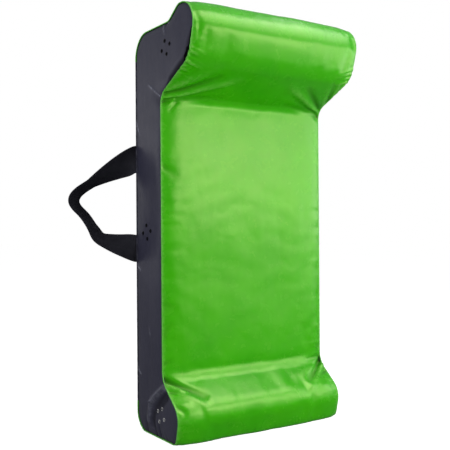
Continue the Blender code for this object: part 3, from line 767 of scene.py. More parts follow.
def green_pvc():
    return coated_fabric(
        "pvc_green", colour=(0.044, 0.440, 0.0005), deep=(0.031, 0.395, 0.0002), worn_and_lit=(0.24, 0.60, 0.11),
        roughness=0.25, specular=0.45, sheen=(1, 0.95, 0.46),
    )


def green_edge_pale_and_lit():
    # A paler copy of the green for the welts and hems: partly a lighter edge, partly painted highlight on
    # their ridges.
    return coated_fabric(
        "pvc_green_edge_painted_highlight", colour=(0.12, 0.52, 0.05), deep=(0.09, 0.46, 0.03), worn_and_lit=(0.28, 0.66, 0.18),
        roughness=0.40, specular=0.45,
    )


def grey_pvc():
    return coated_fabric(
        "pvc_grey", colour=(0.037, 0.037, 0.061), deep=(0.030, 0.030, 0.052), worn_and_lit=(0.28, 0.29, 0.36),
        roughness=0.38, specular=0.30,
    )


def webbing_finish():
    """Black polyester webbing: ribs across the strap, loose fibres on them, and faded patches."""
    surface, tree, shader = new_material("webbing_black", 0.80, 0.0)
    ribs = plain_weave(tree, fabric_place(tree), 0.0016, 0.0011)
    place = object_place(tree)
    fibres = noise_value(tree, place, 1600.0, 3.0)
    tint = mix_colours(tree, ribs, (0.0105, 0.0105, 0.0140), (0.0330, 0.0330, 0.0420))
    faded = ramp(tree, noise_value(tree, place, 30.0, 4.0), 0.0, 0.5, 0.4, 0.8)
    tint = mix_colours(tree, faded, tint, (0.038, 0.038, 0.047))
    normal = bump(tree, fibres, 0.0001, bump(tree, ribs, 0.0003))
    dress(tree, shader, tint, normal, ramp(tree, fibres, 0.62, 0.85))
    return surface


def zip_tape_finish():
    surface, tree, shader = new_material("zip_tape_woven", 0.80, 0.30)
    upright = put(tree, "ShaderNodeMapping", Vector=object_place(tree), Rotation=(math.pi / 2, 0, 0))
    weave = plain_weave(tree, upright.outputs[0], 0.0007, 0.0007)
    tint = mix_colours(tree, weave, (0.004, 0.004, 0.005), (0.018, 0.018, 0.021))
    dress(tree, shader, tint, bump(tree, weave, 0.0002))
    return surface


# Near-black matte finish of the strip of painted shadow under the top bolster.
def shadow_strip_finish():
    surface, tree, shader = new_material("seam_tape_cotton", 1.0, 0.0)
    weave = noise_value(tree, object_place(tree), 900.0, 2.0)
    tint = mix_colours(tree, weave, (0.0012, 0.0012, 0.0016), (0.0045, 0.0045, 0.0055))
    dress(tree, shader, tint, bump(tree, weave, 0.0002))
    return surface


def metal_finish(name, bright, dull):
    """Plated metal: fine scratches, a little tarnish and uneven gloss."""
    surface, tree, shader = new_material(name, 0.24, 0.5, 1.0)
    place = object_place(tree)
    stretched = put(tree, "ShaderNodeMapping", Vector=place, Scale=(1, 1, 14)).outputs[0]
    scratches = noise_value(tree, stretched, 500.0, 3.0, 0.7)
    tarnish = noise_value(tree, place, 160.0, 4.0)
    tint = mix_colours(tree, ramp(tree, tarnish, 0.0, 1.0, 0.45, 0.75), bright, dull)
    dress(tree, shader, tint, bump(tree, scratches, 0.00003), ramp(tree, scratches, 0.16, 0.38, 0.3, 0.7))
    return surface


def foam_finish():
    surface, tree, shader = new_material("foam_open_cell", 0.95, 0.2)
    place = object_place(tree)
    cells = put(tree, "ShaderNodeTexVoronoi", Vector=place, Scale=500.0).outputs["Distance"]
    yellowing = noise_value(tree, place, 8.0, 3.0)
    tint = mix_colours(tree, yellowing, (0.62, 0.55, 0.36), (0.74, 0.70, 0.55))
    dress(tree, shader, tint, bump(tree, cells, 0.0008))
    return surface


def thread_finish(name, colour):
    surface, tree, shader = new_material(name, 0.60, 0.4)
    twist = noise_value(tree, object_place(tree), 1500.0, 2.0)
    tint = mix_colours(tree, twist, tuple(c * 0.6 for c in colour), colour)
    dress(tree, shader, tint, bump(tree, twist, 0.0001))
    return surface


# Wrap

def clustered(count):
    """Shares from -1 to 1, closer together towards both ends."""
    even = np.linspace(-1, 1, count + 1)
    return even * (1 - EDGE_CLUSTER) + EDGE_CLUSTER * np.sin(even * math.pi / 2)


def notch_folds(x, run, marks):
    """Folds that start where the side seams turn into the two notches."""
    lift = np.zeros(np.broadcast(x, run).shape)
    left, right = WIDTH / 2 + x, WIDTH / 2 - x
    places = ((left, FOLDS_BOTH_SIDES), (right, FOLDS_BOTH_SIDES), (left, FOLDS_LEFT), (right, FOLDS_RIGHT))
    for inward, folds in places:
        for notch, *shape in folds:
            lift += fold(inward, run - marks[notch], *shape)
    return lift


def wrap_slack(x, run, marks):
    """Slack of the wrap over the foam: broad dents, and faint wrinkles that run up and down."""
    at_face = along_wrap(run, marks, WRINKLED_FACE) * (0.4 + fading(WIDTH / 2 + x, 0.12))
    at_foot = along_wrap(run, marks, WRINKLED_FOOT)
    lift = waves(x, run, *WRAP_WAVES) + at_face * waves(x, run, FACE_WRINKLES)
    lift += at_foot * (waves(x, run, FOOT_WRINKLES) + creases(x, run, *FOOT_CREASES))
    lift += creases(x, run, *WRAP_CREASES)
    return (1 - fading(WIDTH / 2 - np.abs(x), SLACK_HOLD)) * lift


def face_swell(x, run, marks):
    """How far the foam pushes out the top bolster's face."""
    middle = (marks["chin"] + marks["brow"]) / 2
    return FACE_SWELL * crown_share(x, FACE_SWELL_SHARPNESS) * bell(run - middle, FACE_SWELL_REACH)


def wrap_puckers(x, run, inward, gathered):
    """Uneven puckers along the side seams, and the finer ones where the cover is gathered."""
    shift = np.where(x < 0, 0.0, PUCKER_SHIFT)
    patches = smooth_noise(run / PUCKER_PATCH + shift, 0 * x, 65.0)
    uneven = LEAST_PUCKER + PUCKER_RANGE * clipped(patches + 0.2)
    puckers = gathered * seam_puckers(inward, run + 0.3 * inward, *WRAP_GATHERS)
    for kind in WRAP_PUCKERS:
        puckers += uneven * seam_puckers(inward, run + 5 * shift, *kind)
    return puckers


def seam_frill(run, side, marks):
    """How far a side seam of the wrap wanders: most where it is gathered under the top bolster."""
    return (LEAST_FRILL + along_wrap(run, marks, *FRILLED)) * ripple(run / FRILL_PITCH, 40.0 + side)


def pinned_cloth(item, held):
    """Cloth on an object, with no gravity, that air pressure lifts. held is each vertex's hold."""
    group = item.vertex_groups.new(name="held")
    for index, weight in enumerate(held):
        group.add([index], float(weight), "REPLACE")
    cloth = item.modifiers.new("cloth", "CLOTH")
    cloth.point_cache.frame_start = 1
    cloth.point_cache.frame_end = CLOTH_FRAMES
    cloth.collision_settings.use_collision = False
    settings = cloth.settings
    settings.vertex_group_mass = "held"
    settings.pin_stiffness = CLOTH_BACKING
    settings.bending_stiffness = CLOTH_STIFFNESS
    settings.shrink_min = -CLOTH_SLACK
    settings.use_pressure = True
    settings.uniform_pressure_force = CLOTH_PRESSURE
    settings.effector_weights.gravity = 0


def run_of_cloth(places, towards, held):
    """Where a run of cloth takes an open grid that is a little too big for its held points."""
    rows, columns = np.indices(held.shape).astype(float)
    mesh = sheet_mesh("slack", places, places[..., :2], {"row": rows, "column": columns})
    item = bpy.data.objects.new("slack", mesh)
    bpy.context.scene.collection.objects.link(item)
    face_outwards(item, towards)
    spot = np.empty((2, len(mesh.vertices)), dtype=np.float32)
    for line, tone in zip(spot, ("row", "column")):
        mesh.attributes[tone].data.foreach_get("value", line)
    row, column = np.rint(spot).astype(int)
    pinned_cloth(item, held[row, column])
    for frame_number in range(1, CLOTH_FRAMES + 1):
        bpy.context.scene.frame_set(frame_number)
    found = np.empty(places.shape)
    found[row, column] = points_of(as_shown(item).data)
    bpy.data.objects.remove(item)
    bpy.context.scene.frame_set(1)
    return found


def cloth_lift(points, normals, x, lift):
    """How far a run of cloth lifts the wrap, worked out on every other row and column of its grid."""
    rows = np.arange(0, lift.shape[0], 2)
    columns = np.arange(0, lift.shape[1], 2)
    point, normal, x = points[rows][:, None], normals[rows][:, None], x[:, columns]
    raised = point + normal * lift[rows][:, columns, None]
    places = grid_of(x, BACK_FACE - raised[..., 0], raised[..., 1])
    held = np.full(places.shape[:2], CLOTH_BACKING)
    held[:, [0, -1]] = 1
    held[[0, -1]] = 1
    held[point[:, 0, 1] < BASE_BAND] = 1
    moved = run_of_cloth(places, (0, -1, 0), held) - places
    rise = moved[..., 2] * normal[..., 1] - moved[..., 1] * normal[..., 0]
    rise = CLOTH_CAP * np.tanh(rise / CLOTH_CAP)
    fine = np.stack([np.interp(np.arange(lift.shape[1]), columns, line) for line in rise])
    fine = np.stack([np.interp(np.arange(lift.shape[0]), rows, line) for line in fine.T]).T
    for _ in range(2):
        fine[1:-1] = (fine[:-2] + 2 * fine[1:-1] + fine[2:]) / 4
        fine[:, 1:-1] = (fine[:, :-2] + 2 * fine[:, 1:-1] + fine[:, 2:]) / 4
    return fine


def make_wrap(pvc, edge):
    """The green panel: crowned between its seams, drawn in at them, folded at the notches."""
    points, normals, crowns, runs, marks = wrap_rows()
    x = clustered(WRAP_COLUMNS)[None, :] * WIDTH / 2
    run = runs[:, None]
    inward = WIDTH / 2 - np.abs(x)
    on_base = (points[:, 1] < BASE_BAND)[:, None]
    free = 1 - bell(inward, SEAM_HOLD)
    folds = free * notch_folds(x, run, marks)
    gathered = along_wrap(run, marks, *GATHERED)
    puckers = free * wrap_puckers(x, run, inward, gathered)
    moves = folds + wrap_slack(x, run, marks) + face_swell(x, run, marks) + puckers
    crown = crowns[:, None] * crown_share(x, FRONT_SHARPNESS)
    loose = LEAST_LOOSE + along_wrap(run, marks, *LOOSE)
    lift = crown + np.where(on_base, 0, moves)
    lift += loose * cloth_lift(points, normals, x, crown + np.where(on_base, 0, folds))
    for side in SIDES:
        lift += fading(WIDTH / 2 - side * x, FRILL_REACH) * seam_frill(run, side, marks)
    raised = points[:, None] + normals[:, None] * lift[..., None]
    places = grid_of(x, BACK_FACE - raised[..., 0], np.maximum(raised[..., 1], 0))
    # First tone: paler seam edges, fold ridges and gathered puckers, partly wear and partly painted
    # highlight. Second tone: painted shade in creases and on the base.
    tones = {
        "wear_and_highlight": 0.8 * fading(inward, EDGE_WEAR_AND_HIGHLIGHT) + 0.4 * clipped(folds / FOLD_HIGHLIGHT)
        + 0.7 * gathered * clipped(puckers / GATHER_WEAR_AND_HIGHLIGHT),
        "painted_shade": 1.1 * clipped(-folds / FOLD_SHADE) + 0.5 * on_base,
    }
    mesh = sheet_mesh("cover_front", places, grid_of(x, run), tones)
    item = add("cover_front", mesh, pvc, replaced=["front_panel"])
    face_outwards(item, (0, -1, 0))
    solidify(item, PVC)
    for side, word in SIDES.items():
        line = points + normals * (seam_frill(runs, side, marks) - WELT_SINK)[:, None]
        x = side * (WIDTH / 2 - WELT_INSET)
        spots = [(x, BACK_FACE - depth, max(height, WELT_LEAST_HEIGHT)) for depth, height in line]
        add_tube("cover_seam_" + word, spots, welt(runs, 70.0 + side, WELT, WELT_UNEVEN), edge)


# Side panels

def side_view_sides():
    """The side view's four sides as dense lines: foot, front, head and back, split at mid corners."""
    corners = inset(outline_corners(), GUSSET_RIM)
    arcs = {item["name"]: arc for item, arc in zip(corners, rounded_corners(corners, 0.002))}

    def half(name, second):
        arc = arcs[name]
        middle = len(arc) // 2
        return arc[middle:] if second else arc[:middle + 1]

    foot = half("back foot", True) + half("toe", False)
    front = half("toe", True) + arcs["nose"] + arcs["lower notch"] + arcs["upper notch"]
    front += arcs["chin"] + half("brow", False)
    head = half("brow", True) + arcs["crest"] + arcs["saddle"] + half("back top", False)
    back = half("back top", True) + half("back foot", False)
    return [np.array(line) for line in (foot, front, head[::-1], back[::-1])]


def run_along(line):
    """Distance along a line at each of its points."""
    return np.concatenate([[0], np.cumsum(np.linalg.norm(np.diff(line, axis=0), axis=1))])


def spaced(line, shares):
    """Points at the given shares of a line's length."""
    run = run_along(line)
    at = shares * run[-1]
    return np.stack([np.interp(at, run, line[:, 0]), np.interp(at, run, line[:, 1])], axis=1)


def shares_at(line, heights):
    """Shares of a rising line's length at which it reaches the given heights."""
    run = run_along(line)
    return [float(np.interp(height, line[:, 1], run / run[-1])) for height in heights]


def edge_distance(places, line):
    """Least distance from each (depth, height) place to a closed line."""
    best = np.full(places.shape[:-1], 1.0)
    for a, b in zip(line, np.roll(line, -1, axis=0)):
        span = b - a
        size = span.dot(span)
        if size < 1e-12:
            continue
        share = clipped(((places - a) @ span) / size)
        away = np.linalg.norm(places - a - share[..., None] * span, axis=-1)
        best = np.minimum(best, away)
    return best


def gusset_grid():
    """(depth, height) places that fill the side view: level rows, bent to fit near the foot and the head."""
    foot, front, head, back = side_view_sides()
    notches = [item["at"].y for item in inset(outline_corners(), GUSSET_RIM) if "notch" in item["name"]]
    s = (clustered(GUSSET_ROWS) + 1) / 2
    t = (clustered(GUSSET_COLUMNS) + 1) / 2
    level = np.interp(s, [0, *shares_at(front, notches), 1], [0, *shares_at(back, notches), 1])
    foot, head = spaced(foot, t), spaced(head, t)
    front, back = spaced(front, s), spaced(back, level)
    s, t = s[:, None, None], t[:, None]
    rows = back[:, None] * (1 - t) + front[:, None] * t
    foot_bend = foot - foot[0] * (1 - t) - foot[-1] * t
    head_bend = head - head[0] * (1 - t) - head[-1] * t
    near_foot = clipped(1 - s / FOOT_BEND) ** 2
    near_head = clipped(1 - (1 - s) / HEAD_BEND) ** 2
    return rows + foot_bend * near_foot + head_bend * near_head


def gusset_folds(depth, height):
    """Sharp creases and soft folds in a side panel."""
    return sum(fold(depth, height, *shape) for shape in FOLDS_GUSSET)


def chin_gap(depth, height, inward):
    """1 along the rim under the top bolster, where the side panel hangs clear of the wrap's edge."""
    along = bell(height - GAP_MIDDLE, GAP_REACH, 4) * clipped((depth - GAP_START) / GAP_RUN_IN)
    return bell(inward, GAP_WIDTH * along + 0.0001, 4)


def gusset_bulge(side, depth, height, inward):
    """How far a side panel stands out at places that lie inward of its rim."""
    swell = 1 - fading(inward, GUSSET_SWELL)
    free = 1 - bell(inward, GUSSET_HOLD)
    around = np.arctan2(height - HEIGHT / 2, depth - SLAB_DEPTH / 2) * 0.5 + (height + depth)
    puckers = seam_puckers(inward, around, 100.0 + side, *GUSSET_PUCKERS)
    moves = gusset_folds(depth, height) + waves(depth, height, *GUSSET_WAVES) + puckers
    bulge = np.maximum(GUSSET_CROWN * swell + free * moves, GUSSET_LEAST - SEAM_LIP * 0.4 * swell)
    return bulge - GAP_DEPTH * chin_gap(depth, height, inward)


def add_side_sheet(name, side, bulge, flat, surface, tones=None, replaced=()):
    """A sheet on one side of the wedge, that stands out by bulge. flat is its (depth, height) grid."""
    places = grid_of(side * (WIDTH / 2 - SEAM_LIP + bulge), BACK_FACE - flat[..., 0], flat[..., 1])
    item = add(name, sheet_mesh(name, places, flat, tones), surface, replaced=replaced)
    face_outwards(item, (side, 0, 0))
    return item


def make_chin_shadow_strip(side, word, tape):
    """A black strip along the seam under the top bolster: painted shadow where the panel hangs clear of the
    wrap's edge.
    """
    rim = closed_outline(inset(outline_corners(), GUSSET_RIM), 0.003)
    rim = rim[(rim[:, 0] > SHADOW_STRIP_LEAST_DEPTH) & (rim[:, 1] > SHADOW_STRIP_FOOT) & (rim[:, 1] < SHADOW_STRIP_HEAD)]
    rim = rim[np.argsort(rim[:, 1])]
    along = directions(rim)
    inwards = np.stack([-along[:, 1], along[:, 0]], axis=1)
    ends = np.linspace(0, 1, len(rim))
    taper = np.minimum(1, 5 * ends * (1 - ends)) + 0.02
    width = SHADOW_STRIP_WIDTH * taper * (1 + 0.15 * ripple(ends * 9, 7.0))
    across = np.linspace(0, 1, SHADOW_STRIP_COLUMNS + 1)[None, :] * width[:, None]
    spots = rim[:, None] + inwards[:, None] * across[..., None]
    bulge = gusset_bulge(side, spots[..., 0], spots[..., 1], across) + SHADOW_STRIP_LIFT
    solidify(add_side_sheet("seam_tape_" + word, side, bulge, spots, tape), SHADOW_STRIP_THICKNESS)


def make_gusset(side, word, pvc):
    """One end panel, let in between the wrap's edges, with drawn-in rim, folds and vent holes."""
    grid = gusset_grid()
    depth, height = grid[..., 0], grid[..., 1]
    inward = edge_distance(grid, closed_outline(inset(outline_corners(), GUSSET_RIM), 0.004))
    folds = gusset_folds(depth, height)
    # First tone: paler crease ridges, painted highlight. Second tone: painted shade in creases and along the
    # rim, and a black painted shadow in the gap under the top bolster.
    tones = {
        "wear_and_highlight": clipped((folds - CREASE_HIGHLIGHT_FROM) / CREASE_HIGHLIGHT) * np.where(height > FOOT_HEIGHT, 0.9, 0.22),
        "painted_shade": clipped(-folds / CREASE_SHADE, 1.3) + 0.6 * fading(inward, RIM_SHADE)
        + 2.0 * chin_gap(depth, height, inward),
    }
    bulge = gusset_bulge(side, depth, height, inward)
    item = add_side_sheet("cover_side_" + word, side, bulge, grid, pvc, tones, ["gusset_" + word])
    solidify(item, PVC)
    pierce(item, word)
    return item


# Vents

def vents_of(word):
    """Middle of each eyelet in one side panel, from its CAD node."""
    names = [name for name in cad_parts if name.startswith("eyelet_" + word)]
    return {name: (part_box(name)[0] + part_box(name)[1]) / 2 for name in names}


def rod(work, middle, radius, length):
    """A round rod across the wedge."""
    bmesh.ops.create_cone(
        work, cap_ends=True, segments=20, radius1=radius, radius2=radius, depth=length,
        matrix=Matrix.Translation(middle) @ Matrix.Rotation(math.pi / 2, 4, "Y"),
    )


def pierce(item, word):
    """Round holes through a side panel where the eyelets sit."""
    work = bmesh.new()
    for middle in vents_of(word).values():
        rod(work, middle, VENT_HOLE, 0.03)
    tool = bpy.data.objects.new("holes", mesh_from(work, "holes"))
    bpy.context.scene.collection.objects.link(tool)
    cut = item.modifiers.new("holes", "BOOLEAN")
    cut.object = tool
    cut.solver = "EXACT"
    bpy.context.view_layer.update()
    mesh = bpy.data.meshes.new_from_object(as_shown(item))
    item.modifiers.clear()
    old = item.data
    item.data = mesh
    bpy.data.meshes.remove(old)
    bpy.data.objects.remove(tool)


def panel_face_at(panel, side, middle):
    """x of a side panel's outer face beside a place."""
    spots = points_of(panel.data)
    near = spots[np.hypot(spots[:, 1] - middle.y, spots[:, 2] - middle.z) < 0.008]
    return side * float(np.percentile(side * near[:, 0], 80))


def make_shade_disc(name, side, place, tape):
    """A dark disc in the zip tape's finish behind one vent: painted shade in the hole."""
    work = bmesh.new()
    rod(work, place - Vector((side * SHADE_DISC_SINK, 0, 0)), SHADE_DISC_RADIUS, SHADE_DISC)
    add(name, mesh_from(work, name), tape)


def make_eyelet(name, side, place, metal, node):
    """An eyelet with a rolled flange, spun about its own axis and set flat on the panel."""
    work = bmesh.new()
    verts = [work.verts.new((radius, 0, height)) for radius, height in EYELET_SECTION]
    edges = [work.edges.new(pair) for pair in zip(verts, verts[1:] + verts[:1])]
    bmesh.ops.spin(
        work, geom=verts + edges, cent=(0, 0, 0), axis=(0, 0, 1), angle=2 * math.pi, steps=28,
        use_merge=True,
    )
    bmesh.ops.remove_doubles(work, verts=work.verts, dist=0.00001)
    bmesh.ops.recalc_face_normals(work, faces=work.faces)
    mesh = mesh_from(work, name)
    mesh.transform(Matrix.Translation(place) @ Matrix.Rotation(side * math.pi / 2, 4, "Y"))
    mesh.shade_smooth()
    add(name, mesh, metal, replaced=[node])


def make_vents(panels, metal, glint_metal, tape):
    """Every eyelet with a dark disc behind it, painted shade in its hole. The ones near the foot take a
    bright copy of the blackened finish: painted glints.
    """
    for side, word in SIDES.items():
        for node, middle in vents_of(word).items():
            place = Vector((panel_face_at(panels[word], side, middle), middle.y, middle.z))
            # Eyelets near the foot take the bright copy of the finish: painted glints.
            finish = glint_metal if "bottom" in node else metal
            # Dark disc behind the hole: painted shade.
            make_shade_disc(node.replace("eyelet", "shade_disc"), side, place, tape)
            make_eyelet(node.replace("eyelet", "vent"), side, place, finish, node)


# Back

def zip_slot():
    """Lowest and highest corner of the slot in the back panel, from the zip's own nodes."""
    low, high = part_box("zip_tape_left")
    half = -low.x - ZIP_HEM
    end = ZIP_TAIL - ZIP_SLOT_END
    return Vector((-half, BACK_FACE, low.z + end)), Vector((half, BACK_FACE, high.z - end))


def make_back(pvc):
    """The grey back panel, with its zip slot."""
    slot_low, slot_high = zip_slot()
    half = slot_high.x
    side_columns = (clustered(2 * BACK_COLUMNS)[:BACK_COLUMNS + 1] + 1) * (WIDTH / 2 - half) - WIDTH / 2
    x = np.concatenate([side_columns, [0.0], -side_columns[::-1]])[None, :]
    levels = (BACK_LOW.z, slot_low.z, slot_high.z, BACK_HIGH.z)
    stretches = [np.linspace(*ends)[1:] for ends in zip(levels, levels[1:], BACK_ROWS)]
    z = np.concatenate([[BACK_LOW.z], *stretches])[:, None]
    from_side = WIDTH / 2 - np.abs(x)
    inward = np.minimum(from_side, np.minimum(z - BACK_LOW.z, BACK_HIGH.z - z))
    calm = (1 - fading(inward, BACK_HOLD)) * (1 - bell(np.abs(x) - half, BACK_HOLD))
    puckers = seam_puckers(from_side, z + x * 0, *BACK_PUCKERS)
    y = BACK_FACE + BACK_CROWN * crown_share(x, BACK_SHARPNESS) + calm * waves(x, z, *BACK_WAVES) + puckers
    # First tone: paler rims, partly wear and partly painted highlight. Second tone: painted shade near the
    # rims.
    tones = {"wear_and_highlight": 0.3 * fading(inward, 0.004), "painted_shade": 0.4 * fading(inward, 0.01)}
    mesh = sheet_mesh("cover_back", grid_of(x, y, z), grid_of(x, z), tones)
    work = bmesh.new()
    work.from_mesh(mesh)
    middles = {face: face.calc_center_median() for face in work.faces}
    slot = [face for face, at in middles.items() if abs(at.x) < half and slot_low.z < at.z < slot_high.z]
    bmesh.ops.delete(work, geom=slot, context="FACES")
    work.to_mesh(mesh)
    work.free()
    item = add("cover_back", mesh, pvc, replaced=["back_panel"])
    face_outwards(item, (0, 1, 0))
    solidify(item, PVC)


def make_back_seams(green, grey):
    """Welts along the upright back seams, and the wrap's turned hems on the back."""
    for side, word in SIDES.items():
        z = np.linspace(BACK_SEAM_FOOT, BACK_SEAM_HEAD, 200)
        swell = welt(z, 140.0 + side, BACK_WELT, BACK_WELT_UNEVEN)
        y = BACK_FACE - WELT_SINK + BACK_WELT_WANDER * ripple(z / 0.012, 150.0 + side)
        x = side * (WIDTH / 2 - BACK_WELT_INSET)
        spots = [(x, *place) for place in zip(y, z)]
        add_tube("cover_back_seam_" + word, spots, swell, grey)
    for word, height in (("upper", BACK_SEAM_HEAD), ("lower", BACK_SEAM_FOOT)):
        x = np.linspace(-WIDTH / 2 + 0.001, WIDTH / 2 - 0.001, 120)
        swell = welt(x, 160.0, BACK_WELT, BACK_WELT_UNEVEN)
        spots = [(a, back_surface(a) - WELT_SINK, height) for a in x]
        add_tube("cover_hem_" + word, spots, swell, green)


def make_back_stitching(green_thread, grey_thread):
    """Thread on the back: along both hems and round the zip slot."""
    slot_low, slot_high = zip_slot()

    def level(reach, height):
        return (-reach, height), (reach, height)

    hems = ((BACK_SEAM_HEAD, HEM_STITCH), (BACK_SEAM_FOOT, -HEM_STITCH))
    green = [level(WIDTH / 2 - HEM_STITCH_END, height + out) for height, out in hems]
    grey = [level(WIDTH / 2 - HEM_STITCH_END, height - out) for height, out in hems]
    for side in SIDES:
        for off in SLOT_STITCHES:
            x = side * (slot_high.x + off)
            grey.append(((x, slot_low.z - off), (x, slot_high.z + off)))
    for off in SLOT_STITCHES:
        grey += [level(slot_high.x + off, height) for height in (slot_low.z - off, slot_high.z + off)]
    stitch = (STITCH_LIFT, STITCH_LENGTH, STITCH_RADIUS)
    sew("stitches_back_green", green, stitch, green_thread)
    sew("stitches_back_grey", grey, stitch, grey_thread)


# Foam

def foam_blocks():
    """Side views of the slab and of the two bolsters that are glued on to it."""
    inner = {item["name"]: item for item in inset(outline_corners(), FOAM_CLEARANCE)}
    front = SLAB_DEPTH - FOAM_CLEARANCE
    glue = front + GAP
    top = inner["back top"]["at"].y
    foot = inner["back foot"]["at"].y
    return {
        "foam_slab": [
            inner["back foot"], corner(front, foot, LEAST_RADIUS), corner(front, top, LEAST_RADIUS),
            inner["back top"],
        ],
        "foam_top_bolster": [
            corner(glue, inner["upper notch"]["at"].y, LEAST_RADIUS), inner["chin"], inner["brow"],
            inner["crest"], inner["saddle"], corner(glue, top, LEAST_RADIUS),
        ],
        "foam_bottom_bolster": [
            corner(glue, foot, LEAST_RADIUS), inner["toe"], inner["nose"],
            corner(glue, inner["lower notch"]["at"].y, LEAST_RADIUS),
        ],
    }


def make_foam(foam):
    """The three blocks of foam, with soft edges."""
    half = WIDTH / 2 - SEAM_LIP - FOAM_CLEARANCE
    for name, corners in foam_blocks().items():
        work = bmesh.new()
        outline = closed_outline(corners, 0.006)
        ring = [work.verts.new((-half, BACK_FACE - depth, height)) for depth, height in outline]
        bmesh.ops.remove_doubles(work, verts=ring, dist=0.0003)
        face = work.faces.new([v for v in ring if v.is_valid])
        pushed = bmesh.ops.extrude_face_region(work, geom=[face])
        moved = [v for v in pushed["geom"] if isinstance(v, bmesh.types.BMVert)]
        bmesh.ops.translate(work, vec=(2 * half, 0, 0), verts=moved)
        bmesh.ops.recalc_face_normals(work, faces=work.faces)
        rims = [e for e in work.edges if abs(e.verts[0].co.x - e.verts[1].co.x) < 1e-6]
        bmesh.ops.bevel(
            work, geom=rims, offset=FOAM_EDGE / 2, segments=3, affect="EDGES", profile=0.5, material=-1,
        )
        mesh = mesh_from(work, name + "_core")
        mesh.shade_smooth()
        add(name + "_core", mesh, foam, replaced=[name])


# Handles

def smooth_path(points, steps):
    """Points of a smooth curve through the given ones, steps to a stretch."""
    ends = [2 * points[0] - points[1]] + points + [2 * points[-1] - points[-2]]
    found = []
    for a, b, c, d in zip(ends, ends[1:], ends[2:], ends[3:]):
        for k in range(steps):
            t = k / steps
            square = (2 * a - 5 * b + 4 * c - d) * t ** 2
            cube = (3 * b - a - 3 * c + d) * t ** 3
            found.append(0.5 * (2 * b + (c - a) * t + square + cube))
    found.append(points[-1])
    return found


def twist(reach):
    """Turn of the webbing about its own length, which grows from none where it is sewn."""
    return LOOP_TWIST * min(1, reach / LOOP_TWIST_REACH) ** LOOP_TWIST_EASE


def across_web():
    """Distances of the webbing's columns from its middle, from its upper to its lower edge."""
    return [WEB_WIDTH * (0.5 - column / WEB_COLUMNS) for column in range(WEB_COLUMNS + 1)]


def loop_rows(side):
    """Rows of the free loop, each a list of places from its upper to its lower edge."""
    shape = [Vector((reach * HANDLE_REACH, height * HANDLE_SPACING / 2)) for reach, height in LOOP_SHAPE]
    middle = smooth_path(shape, LOOP_STEPS)
    last = len(middle) - 1
    out = Vector((side * math.cos(HANDLE_SWEEP), math.sin(HANDLE_SWEEP), 0))
    across = Vector((-side * math.sin(HANDLE_SWEEP), math.cos(HANDLE_SWEEP), 0))
    hinge = Vector((side * (WIDTH / 2 + HANDLE_STANDOFF), BACK_FACE + GAP + WEB / 2, HANDLE_HEIGHT))
    rows = []
    for row, centre in enumerate(middle):
        along = (middle[min(row + 1, last)] - middle[max(row - 1, 0)]).normalized()
        upright = Vector((0, 1 if along.x > 0 else -1))
        free = min(1, centre.x / LOOP_STRAIGHTEN)
        width_way = upright.lerp(left_of(along), free).normalized()
        spots = []
        for lean in across_web():
            flat = centre + width_way * lean * math.cos(twist(centre.x))
            reach = max(flat.x, 0)
            tilt = across * lean * math.sin(twist(reach))
            spots.append(hinge + out * reach + tilt + Vector((0, 0, flat.y)))
        rows.append(spots)
    return rows


def tab_rows(side, level):
    """Rows of one sewn end, from its cut end to the hinge. level is 1 for the upper end, -1 for the lower."""
    rows = []
    for k in range(TAB_ROWS):
        inward = TAB_LENGTH - (TAB_LENGTH - 0.001) * k / TAB_ROWS
        x = side * (WIDTH / 2 - inward)
        y = back_surface(x) + GAP + WEB / 2
        heights = [HANDLE_HEIGHT + level * (HANDLE_SPACING / 2 + lean) for lean in across_web()]
        rows.append([Vector((x, y, height)) for height in heights])
    return rows


def make_strap(side, word, webbing):
    """One strap of webbing: sewn end, free loop, sewn end, bending where it leaves the back."""
    rows = tab_rows(side, 1) + loop_rows(side) + tab_rows(side, -1)[::-1]
    places = np.array([[tuple(p) for p in row] for row in rows])
    along = run_along(places[:, WEB_COLUMNS // 2])[:, None]
    flat = grid_of(along, np.linspace(0, WEB_WIDTH, WEB_COLUMNS + 1))
    name = "strap_" + word
    replaced = ["handle_loop_" + word, "handle_end_" + word + "_upper", "handle_end_" + word + "_lower"]
    item = add(name, sheet_mesh(name, places, flat), webbing, rides=False, replaced=replaced)
    solidify(item, WEB, 0)
    subdivide(item, 1)
    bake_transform(item)


def make_strap_stitches(side, word, thread):
    """A box with a cross in it, sewn through each strap end."""
    lines = []
    for level in (1, -1):
        middle = HANDLE_HEIGHT + level * HANDLE_SPACING / 2
        x0 = side * (WIDTH / 2 - TAB_LENGTH + STRAP_STITCH_RIM)
        x1 = side * (WIDTH / 2 - STRAP_STITCH_END)
        z0 = middle - WEB_WIDTH / 2 + STRAP_STITCH_RIM
        z1 = middle + WEB_WIDTH / 2 - STRAP_STITCH_RIM
        ring = [(x0, z0), (x1, z0), (x1, z1), (x0, z1)]
        lines += list(zip(ring, ring[1:] + ring[:1]))
        lines += [((x0, z0), (x1, z1)), ((x0, z1), (x1, z0))]
    stitch = (GAP + WEB, STRAP_STITCH_LENGTH, STRAP_STITCH_RADIUS)
    sew("stitches_strap_" + word, lines, stitch, thread)


# Zip

